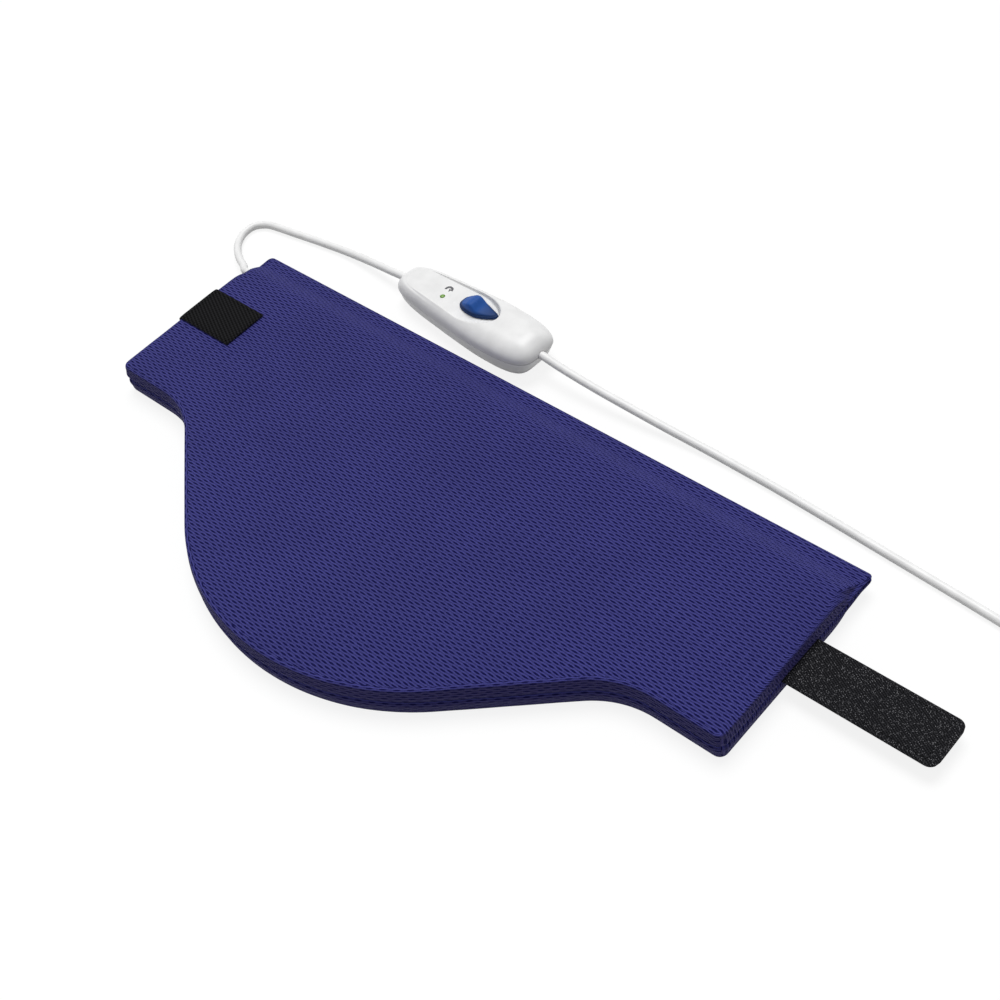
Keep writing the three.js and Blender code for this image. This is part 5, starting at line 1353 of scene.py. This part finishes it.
def add_patch(size):
    """The loop patch: a band from the end's wall up round the edge and along the top, thinned like a
    quarter circle over its last millimetre at both ends, and its stitches."""
    thickness, lift, overhang, seam, step = 1.3, 0.3, 3.2, 2.2, 0.8
    radius, half_length, top = size["edge_radius"], size["length"] / 2, size["height"]
    turn = arc(-half_length - size["cord_end_bulge"] + radius, top - radius,
               radius + lift + thickness / 2, math.pi - 0.12, math.pi / 2)
    patch_end = PATCH_HIGH[0] + overhang
    line = spaced(np.vstack([turn, [[patch_end, top + lift + thickness / 2]]]), step=step)
    ahead = unit(np.gradient(line, axis=0))
    path = points_from(line[:, 0], (PATCH_HIGH[1] + PATCH_LOW[1]) / 2, line[:, 1])
    normals = points_from(-ahead[:, 1], 0.0, ahead[:, 0])
    from_end = np.minimum(np.arange(len(line)), np.arange(len(line))[::-1]) * step
    thin = thickness * (0.35 + 0.65 * quarter_round(1 - np.clip(from_end, 0, 1)))
    half_width = (PATCH_HIGH[1] - PATCH_LOW[1]) / 2
    patch = add_loft("loop_patch_tape", flat_band(path, normals, half_width, thin, ACROSS), sharp=60)
    finish_piece(patch, "loop tape", "root", ["loop_patch"])
    sewn_box("patch_stitches", [-half_length + radius, PATCH_LOW[1] + seam],
             [patch_end - seam, PATCH_HIGH[1] - seam], top + lift + thickness, "root")


def straight_band(name, low, high, corner=0.0, count=None):
    """A flat band along X between two corners of its box, its free end's corners rounded by a quarter
    circle."""
    count = count or int((high[0] - low[0]) / 0.9) + 2
    x = np.linspace(low[0], high[0], count)
    half_width = (high[1] - low[1]) / 2
    if corner:
        half_width -= corner * (1 - quarter_round(np.clip((x - (high[0] - corner)) / corner, 0, 1)))
    path = points_from(x, (low[1] + high[1]) / 2, (low[2] + high[2]) / 2)
    normals = np.tile(UP, (count, 1))
    return add_loft(name, flat_band(path, normals, half_width, high[2] - low[2], ACROSS), sharp=60)


class HEATPAD_OT_tape(bpy.types.Operator):
    """Build the loop patch, the strap with its sewn root, the hook tab and their stitches"""

    bl_idname = "heating_pad.tape"
    bl_label = "Patch and strap"

    def execute(self, context):
        add_patch(pad_sizes(context.scene.heating_pad_fabric))
        into_seam, seam, free_seam, sunk = 0.25, 2, 5, 0.05
        corner = (STRAP_HIGH[1] - STRAP_LOW[1]) / 2 / 3
        root_low, root_high = [ROOT_LOW[0], *STRAP_LOW[1:]], [ROOT_HIGH[0] + into_seam, *STRAP_HIGH[1:]]
        root = straight_band("strap_root_webbing", root_low, root_high)
        finish_piece(root, "strap webbing", "root", ["strap_root"])
        strap = straight_band("strap_webbing", STRAP_LOW, STRAP_HIGH, corner)
        finish_piece(strap, "strap webbing", "strap", ["strap_band"])
        hook = straight_band("hook_tab_tape", HOOK_LOW, HOOK_HIGH, corner, 60)
        finish_piece(hook, "hook tape", "strap", ["hook_tab"])
        sewn_box("strap_stitches", HOOK_LOW[:2] + seam, HOOK_HIGH[:2] - [free_seam, seam],
                 STRAP_HIGH[2] - sunk, "strap")
        return {"FINISHED"}


# Control

CROWN_ROLL = 14.0
PAD_PARTING, MAINS_PARTING = LEAD_HEIGHT, MAINS_HEIGHT
PAD_CROWN, MAINS_CROWN = 21.2, 26.0
CEILING = 18.2
SHELL_WALL = 2.0
SEAM_GAP = 0.9
MEETING = 1.1
HOUSING_MIDDLE = np.array([-12.0, 0.0])
MAINS_SQUARENESS, PAD_SQUARENESS = 4.2, 3.6


def narrowed(x):
    """The housing's width share: 1, falling by 0.18 in a smooth step from X 25 to X -45."""
    return 1 - 0.18 * blend_between(-25, 45, -x)


def oval(x, y, inset, slant, half_length, half_width):
    """Level of the housing's outline drawn in by inset, and by slant too at the mains end: |x/a|^p +
    |y/b|^p, under 1 inside, with p 4.2 at the mains end and 3.6 at the pad's, where b is narrowed."""
    power = np.where(x > 0, MAINS_SQUARENESS, PAD_SQUARENESS)
    reach = half_length - inset - np.where(x > 0, slant, 0)
    return np.abs(x / reach) ** power + np.abs(y / ((half_width - inset) * narrowed(x))) ** power


def share_along(x, half_length):
    return np.clip((x + half_length) / (2 * half_length), 0, 1)


def parting_height(x, half_length):
    """The joint between the shells climbs evenly from the pad's end to the mains end."""
    return PAD_PARTING + (MAINS_PARTING - PAD_PARTING) * share_along(x, half_length)


def crown_height(x, half_length):
    """The crown climbs as a quarter sine towards the mains end."""
    return PAD_CROWN + (MAINS_CROWN - PAD_CROWN) * np.sin(share_along(x, half_length) * math.pi / 2)


class Housing:
    """The hand control's surfaces, on rays from a centre in its own frame, in millimetres."""

    def __init__(self, settings, rays=176):
        self.half_length, self.half_width = settings.length / MM / 2, settings.width / MM / 2
        self.floor = settings.recess_floor / MM
        self.recess_half = settings.recess_width / MM / 2
        angle = np.linspace(0, 2 * math.pi, 4001)
        power = 2 / np.where(np.cos(angle) > 0, MAINS_SQUARENESS, PAD_SQUARENESS)
        x, y = squared_circle(angle, power, power)
        x = self.half_length * x
        line = np.stack([x, self.half_width * narrowed(x) * y], axis=1)
        self.way = unit(spaced(line, rays + 1)[:-1] - HOUSING_MIDDLE)

    def at(self, reach):
        """Plan points at a reach along each ray."""
        return HOUSING_MIDDLE + self.way * np.asarray(reach)[:, None]

    def farthest(self, inside):
        """Plan points on the rays where inside() turns false, looked for over the housing's length."""
        return self.at(halved(lambda reach: inside(self.at(reach)), np.zeros(len(self.way)),
                              2 * self.half_length))

    def level(self, plan, inset, slant=0.0):
        """Level of the drawn-in outline at plan points, under 1 inside it."""
        return oval(plan[:, 0], plan[:, 1], inset, slant, self.half_length, self.half_width)

    def ring(self, inset, height, slant=0.0):
        """A ring where the rays meet the outline drawn in by inset, and by slant at the mains end, at a
        height or a height worked out from X."""
        plan = self.farthest(lambda place: self.level(place, inset, slant) < 1)
        return raised(plan, height(plan[:, 0]) if callable(height) else height)

    def parting(self, x):
        return parting_height(x, self.half_length)

    def top(self, plan):
        """Height of the rolled crown over a plan point: the inset of the outline through the point gives
        the roll's angle, whose cosine is 1 minus inset over the roll, and the height runs with its sine
        from the shell's rim to the crown."""
        inset = halved(lambda drawn_in: self.level(plan, drawn_in) < 1, np.zeros(len(plan)), CROWN_ROLL)
        return self.climbed(plan[:, 0], np.sin(np.arccos(1 - inset / CROWN_ROLL)))

    def climbed(self, x, climb):
        """Height at a share of the way from the upper shell's rim to the crown."""
        rim = self.parting(x) + SEAM_GAP / 2
        return rim + (crown_height(x, self.half_length) - rim) * climb

    def eased(self, plan, height, weight):
        """Points at a height less a softening where the crown comes near the recess's floor: log(1 +
        exp(-gap / k)) times k, of the gap between the two, and times a weight, so that they meet in a
        round edge."""
        gap = np.abs(self.top(plan) - self.floor)
        return raised(plan, height - MEETING * weight * np.log1p(np.exp(-gap / MEETING)))

    def recess(self):
        """Plan points of the recess's rim: the tongue, round at the mains end and narrowing towards the
        pad, or where the crown comes down to the floor if that is nearer."""
        end_reach, narrowing, least = 25.5, 5.0, 0.1

        def inside(place):
            x, y = place[:, 0], place[:, 1]
            narrow = self.recess_half + narrowing * np.minimum(x, 0) / self.half_length
            round_end = quarter_round(np.maximum(x, 0) / end_reach)
            return (np.abs(y) < narrow * round_end) & (self.top(place) > self.floor + least)
        return self.farthest(inside)


def upper_shell(house):
    """Outer and inner rings of the upper shell: the roll from the parting, on over the crown to the
    recess's rim, a small rounding, the recess's wall, a hollow, its floor, and the inside."""
    rings = []
    for angle in np.linspace(0, math.radians(42), 11):
        inset, climb = CROWN_ROLL * (1 - math.cos(angle)), math.sin(angle)
        rings.append(house.ring(inset, lambda x: house.climbed(x, climb)))
    rim = house.recess()
    outward = loop_outward(rim)
    depth = np.maximum(house.top(rim) - house.floor, 0.05)
    rounding, hollow = (np.minimum(most, 0.4 * depth) for most in (1.5, 1.2))
    draft = 0.16 * depth
    shallow = 1 - blend_between(0.2, 2.4, depth)
    start, last = rim + outward * rounding[:, None], rings[-1][:, :2]
    for t in np.linspace(0, 1, 16)[1:]:
        plan = last + (start - last) * t
        rings.append(house.eased(plan, house.top(plan), shallow * blend_between(0, 0.8, t)))
    for angle in np.linspace(0, math.pi / 2, 6)[1:]:
        plan = rim + outward * rounding[:, None] * (1 - math.sin(angle))
        rings.append(house.eased(plan, house.top(plan) - rounding * (1 - math.cos(angle)), shallow))
    for angle in np.linspace(0, math.pi / 2, 6):
        plan = rim - outward * (draft + hollow * (1 - math.cos(angle)))[:, None]
        rings.append(house.eased(plan, house.floor + hollow * (1 - math.sin(angle)), shallow))
    inner = rings[-1][:, :2]
    for t in (0.06, 0.12, 0.18, 0.25, 0.35, 0.5, 0.75):
        rings.append(house.eased(inner + (HOUSING_MIDDLE - inner) * t, house.floor, shallow))
    ledge = SHELL_WALL + 1.8
    inside = [
        house.ring(ledge + 3.0, CEILING),
        house.ring(ledge + 1.0, CEILING - 0.3),
        house.ring(ledge, lambda x: np.minimum(house.parting(x) + 2.0, CEILING - 0.7)),
        house.ring(SHELL_WALL, lambda x: np.minimum(house.parting(x) + 1.7, CEILING - 0.9)),
        house.ring(SHELL_WALL, lambda x: house.parting(x) + SEAM_GAP / 2),
    ]
    return shell_body(rings, inside)


def lower_shell(house):
    """The lower shell: a drafted wall that leans in more at the mains end, a rounded foot and a flat
    bottom, then the inside with its tongue."""
    inset, edge, draft, slant = 0.4, 5.0, 2.2, 4.5

    def rim(x):
        return house.parting(x) - SEAM_GAP / 2

    rings = [house.ring(inset, rim)]
    for t in np.linspace(0.15, 1, 6):
        rings.append(house.ring(inset + draft * t / 2, lambda x: (
            rim(x) * (1 - t) + np.maximum(house.parting(x) / 2, edge) * t), slant * t / 2))
    for angle in np.linspace(0, math.pi / 2, 8):
        foot = inset + draft + edge * (1 - math.cos(angle))
        rings.append(house.ring(foot, edge * 0.8 * (1 - math.sin(angle)), slant))
    outer, tongue = SHELL_WALL + 0.3, SHELL_WALL + 1.5
    inside = [
        house.ring(inset + draft + edge, SHELL_WALL, slant),
        house.ring(tongue + draft, SHELL_WALL + edge / 2, slant),
        house.ring(tongue, lambda x: house.parting(x) + 1.4),
        house.ring(outer, lambda x: house.parting(x) + 1.4),
        house.ring(outer, rim),
    ]
    return shell_body(rings, inside)


def shell_body(outside, inside):
    """One closed shell from its outer rings, which end in a filled crown, and its inner rings, which begin
    with one. The last inner ring is joined to the first outer one."""
    outer_points, outer_faces = loft(outside, (False, True))
    inner_points, inner_faces = loft(inside, (True, False))
    count, first = len(outside[0]), len(outer_points)
    here = np.arange(count)
    after = (here + 1) % count
    foot = first + (len(inside) - 1) * count
    close = np.stack([foot + here, foot + after, after, here], axis=1)
    faces = outer_faces + [[corner + first for corner in face] for face in inner_faces] + close.tolist()
    return np.vstack([outer_points, inner_points]), faces


SCREW_PLACES = ((-40.0, 7.5), (43.5, -8.6))
POST_PLACES = ((-26.8, -8.3), (-26.8, 8.3), (34.8, -8.3), (34.8, 8.3))
BOSS_RADIUS, PILOT_RADIUS, SCREW_WAY_RADIUS, SCREW_SEAT_RADIUS = 3.5, 1.6, 1.9, 3.0
POST_RADIUS, POST_TOP, SEAT_DEPTH = 2.0, 5.7, 3.4
SLOT_ENDS, SLOT_HALF_WIDTH = (-4.6, 10.6), 2.5
LENS_PLACE, LENS_WAY_RADIUS = (-22.6, -3.6), 1.8
CORD_WAY_END, CORD_WAY_RADIUS = 71, 3.0
GRIP_X = 53.0
GRIP_ROOM_HALF = (3.1, 6.6)
GRIP_ROOM_TOPS = ((-1, 15.9), (1, 20.3))
GRIP_POST_HALF, GRIP_POST_Y = (2.5, 1.5), 4.5
OVERRUN = 6


def cord_channels():
    """The two round ways for the cords through the housing's ends."""
    return [rod([-CORD_WAY_END, 0, LEAD_HEIGHT], [-CORD_INSIDE, 0, LEAD_HEIGHT], CORD_WAY_RADIUS, 48, "x"),
            rod([CORD_INSIDE, 0, MAINS_HEIGHT], [CORD_WAY_END, 0, MAINS_HEIGHT], CORD_WAY_RADIUS, 48, "x")]


def block_about(x, y, half, low, high):
    """A block about a plan point, between two heights."""
    return block([x - half[0], y - half[1], low], [x + half[0], y + half[1], high])


def add_body(name, parts):
    points, faces = merged(parts)
    return add_mesh(name, control_point(points), faces)


class HEATPAD_OT_housing(bpy.types.Operator):
    """Build the two shells of the hand control with their bosses, screw seats and cord ways"""

    bl_idname = "heating_pad.housing"
    bl_label = "Control housing"

    def execute(self, context):
        house = Housing(context.scene.heating_pad_control)
        points, faces = upper_shell(house)
        top = add_mesh("control_top_moulding", control_point(points), faces, sharp=30)
        bosses = [rod([x, y, house.parting(x) + 0.3], [x, y, CEILING + 1.0], BOSS_RADIUS)
                  for x, y in SCREW_PLACES]
        combine(top, add_body("bosses", bosses), "UNION")
        rooms = [block_about(side * GRIP_X, 0, GRIP_ROOM_HALF, house.parting(side * GRIP_X) - OVERRUN, top_z)
                 for side, top_z in GRIP_ROOM_TOPS]
        combine(top, add_body("rooms", rooms), "DIFFERENCE")
        slot = block([SLOT_ENDS[0], -SLOT_HALF_WIDTH, CEILING - 4],
                     [SLOT_ENDS[1], SLOT_HALF_WIDTH, house.floor + 4])
        lens_way = rod([*LENS_PLACE, CEILING - 4], [*LENS_PLACE, house.floor + OVERRUN], LENS_WAY_RADIUS)
        pilots = [rod([x, y, house.parting(x) - OVERRUN], [x, y, CEILING - 1.0], PILOT_RADIUS)
                  for x, y in SCREW_PLACES]
        combine(top, add_body("cuts", [slot, lens_way, *pilots, *cord_channels()]), "DIFFERENCE")
        finish_piece(top, "white moulding", "root", ["control_top_shell"])

        points, faces = lower_shell(house)
        bottom = add_mesh("control_bottom_moulding", control_point(points), faces, sharp=30)
        posts = [rod([x, y, 1.0], [x, y, house.parting(x) - 0.15], BOSS_RADIUS) for x, y in SCREW_PLACES]
        posts += [rod([x, y, 1.0], [x, y, POST_TOP], POST_RADIUS) for x, y in POST_PLACES]
        posts += [block_about(side * GRIP_X, turn * GRIP_POST_Y, GRIP_POST_HALF, 1.0,
                              float(house.parting(side * GRIP_X)) - 0.3)
                  for side in (-1, 1) for turn in (-1, 1)]
        combine(bottom, add_body("posts", posts), "UNION")
        ways = [rod([x, y, -OVERRUN], [x, y, house.parting(x) + OVERRUN], SCREW_WAY_RADIUS)
                for x, y in SCREW_PLACES]
        combine(bottom, add_body("ways", [*ways, *cord_channels()]), "DIFFERENCE")
        seats = [rod([x, y, -OVERRUN], [x, y, SEAT_DEPTH], SCREW_SEAT_RADIUS) for x, y in SCREW_PLACES]
        combine(bottom, add_body("seats", seats), "DIFFERENCE")
        finish_piece(bottom, "white moulding", "root", ["control_bottom_shell"])
        return {"FINISHED"}


SLIDER_MIDDLE = np.array([7.6, 1.2])
SLIDER_HALF = np.array([15.2, 7.2])
SLIDER_CREST_X = -3.1
SLIDER_SIDES = 96
STEM_X = 7.0
SLIDER_EDGE = 2.3
SLIDER_LEAN = 2.3


def slider_rings(settings):
    """The slider's cap. In plan an oval, of power 3 at the pad's end, that comes to a narrower tip at the
    mains end and leans aside there with the square of the way. A low skirt stands round it with a crease
    above. Inside the skirt the top is a flat dome with a thumb hump, which falls along the cap as
    1 / (1 + (distance / spread)^power), slower towards the pad, and across the cap as 1 - |v|^12. Towards
    the crease it all falls with the 14th power of the reach."""
    low, hump_height = settings.recess_floor / MM + 0.3, settings.hump / MM
    skirt_reach = 0.895
    angle = turn_angles(SLIDER_SIDES)
    narrowing = 1 - 0.36 * blend_between(-0.2, 1.0, np.cos(angle))
    power = np.where(np.cos(angle) < 0, 2 / 3, 1.0)
    plan = np.stack(squared_circle(angle, power, power), axis=1) * SLIDER_HALF
    plan[:, 1] *= narrowing
    plan[:, 1] += SLIDER_LEAN * np.clip(np.cos(angle), 0, 1) ** 2

    def top(place):
        along, across = (place / SLIDER_HALF).T
        from_crest = place[:, 0] - SLIDER_CREST_X
        fall = np.where(from_crest < 0, np.abs(from_crest / 6.2) ** 2.2, np.abs(from_crest / 4.2) ** 3)
        hump = hump_height / (1 + fall) * np.clip(1 - across**12, 0, 1)
        return 0.6 * np.clip(1 - along**2 - across**2, 0, 1) + hump

    skirt = ((1, 0.0), (1, 0.35), (0.992, 0.62), (0.972, 0.76), (0.945, 0.80), (0.925, 0.78), (0.91, 0.80),
             (skirt_reach, 0.88))
    rings = [raised(SLIDER_MIDDLE + reach * plan, low + height * SLIDER_EDGE) for reach, height in skirt]
    for reach in (0.88, 0.86, 0.83, 0.79, 0.74, 0.68, 0.6, 0.5, 0.4, 0.3, 0.2, 0.1):
        rise = 1 - (reach / skirt_reach) ** 14
        height = low + SLIDER_EDGE * (0.88 + 0.12 * rise) + top(reach * plan) * (0.25 + 0.75 * rise)
        rings.append(raised(SLIDER_MIDDLE + reach * plan, height))
    return np.array(rings)


def ring_mark(centre, radius, width, start, end, height, steps=40):
    """A printed arc: a thin raised band between two radii over an angle in degrees."""
    angle = np.linspace(math.radians(start), math.radians(end), steps)[:, None]
    section = np.array([[-1, 0], [-1, 1], [1, 1], [1, 0]]) * [width / 2, height]
    reach = radius + section[:, 0]
    return loft(points_from(centre[0] + reach * np.cos(angle), centre[1] + reach * np.sin(angle),
                            centre[2] + section[:, 1]))


class HEATPAD_OT_slider(bpy.types.Operator):
    """Build the slider, the indicator's lens and the printed mark beside it"""

    bl_idname = "heating_pad.slider"
    bl_label = "Slider and indicator"

    def execute(self, context):
        settings = context.scene.heating_pad_control
        floor = settings.recess_floor / MM
        low = box_of("slider_button")[0]
        points, faces = loft(slider_rings(settings))
        cap = add_mesh("slider_cap", control_point(points), faces, sharp=50)
        stem = block_about(STEM_X, 0, (3, 2.2), low[2], floor + 1.0)
        combine(cap, add_body("stem", [stem]), "UNION", 50)
        fork = block_about(STEM_X, 0, (1.8, 1.3), low[2] - 3, box_of("switch_lever")[1][2] + 0.3)
        combine(cap, add_body("fork", [fork]), "DIFFERENCE", 50)
        finish_piece(cap, "slider moulding", "slider", ["slider_button"])

        lens_low, lens_high = box_of("indicator_lens")
        radius, flange_radius, dome = 1.5, 2.5, 0.5
        flange = CEILING - 0.3
        profile = [[lens_low[2], radius], [flange - 0.8, radius], [flange - 0.8, flange_radius],
                   [flange, flange_radius], [flange, radius], [floor, radius]]
        profile += [[floor + dome * math.sin(a), radius * math.cos(a) * 0.9 + 0.15]
                    for a in np.linspace(0, math.pi / 2, 9)[:-1]]
        rings = lathe_rings(profile, 36)
        rings[..., :2] += ((lens_low + lens_high) / 2)[:2]
        lens = add_loft("indicator_light_guide", rings)
        finish_piece(lens, "light guide", "root", ["indicator_lens"])
        ink, ink_base = 0.15, floor - 0.1
        printed = add_body("printed_mark", [
            ring_mark([-23.8, 3.4, ink_base], 2.3, 1.6, 0, 205, ink),
            ring_mark([-23.4, 3.0, ink_base], 0.7, 1.1, -60, 120, ink, 12),
        ])
        finish_piece(printed, "printed mark", "root")
        return {"FINISHED"}


# Inner parts that keep their solids, with the finish of each

INNER_FINISHES = {
    "heating_cord": "heating cord insulation",
    "heating_cord_end_cap": "white moulding",
    "joint_cover": "white moulding",
    "thermal_cutout": "plated steel",
    "inlet_cord": "cord sheath",
    "cord_bushing": "white moulding",
    "switch_lever": "black moulding",
    "slide_switch": "plated steel",
    "control_board": "circuit board",
    "indicator_lamp": "white moulding",
    "power_block": "black moulding",
    "board_fuse": "plated steel",
    "control_screw_1": "plated steel",
    "control_screw_2": "plated steel",
    "lead_cord_grip": "black moulding",
    "mains_cord_grip": "black moulding",
}


class HEATPAD_OT_inner_parts(bpy.types.Operator):
    """Give the inner parts, which keep their solids, their materials"""

    bl_idname = "heating_pad.inner_parts"
    bl_label = "Inner parts"

    def execute(self, context):
        for node, name in INNER_FINISHES.items():
            slots = frame["nodes"][node].data.materials
            slots.clear()
            slots.append(finish(name))
        return {"FINISHED"}


OPERATORS = (HEATPAD_OT_stage, HEATPAD_OT_cords, HEATPAD_OT_covers, HEATPAD_OT_filling, HEATPAD_OT_tape,
             HEATPAD_OT_housing, HEATPAD_OT_slider, HEATPAD_OT_inner_parts)


class HEATPAD_PT_panel(bpy.types.Panel):
    """Lists the pad's settings and the steps that build it"""

    bl_label = "Heating Pad"
    bl_idname = "HEATPAD_PT_panel"
    bl_space_type = "VIEW_3D"
    bl_region_type = "UI"
    bl_category = "Heating Pad"

    def draw(self, context):
        for name, group in SETTINGS.items():
            box = self.layout.box()
            for prop in group.__annotations__:
                box.prop(getattr(context.scene, name), prop)
        for operator in OPERATORS:
            self.layout.operator(operator.bl_idname)


def register():
    for settings in SETTINGS.values():
        bpy.utils.register_class(settings)
    for name, settings in SETTINGS.items():
        setattr(bpy.types.Scene, name, PointerProperty(type=settings))
    for operator in OPERATORS:
        bpy.utils.register_class(operator)
    bpy.utils.register_class(HEATPAD_PT_panel)


def unregister():
    bpy.utils.unregister_class(HEATPAD_PT_panel)
    for operator in reversed(OPERATORS):
        bpy.utils.unregister_class(operator)
    for name, settings in SETTINGS.items():
        delattr(bpy.types.Scene, name)
        bpy.utils.unregister_class(settings)


def main():
    register()
    for operator in OPERATORS:
        group, action = operator.bl_idname.split(".")
        getattr(getattr(bpy.ops, group), action)()


if __name__ == "__main__":
    main()
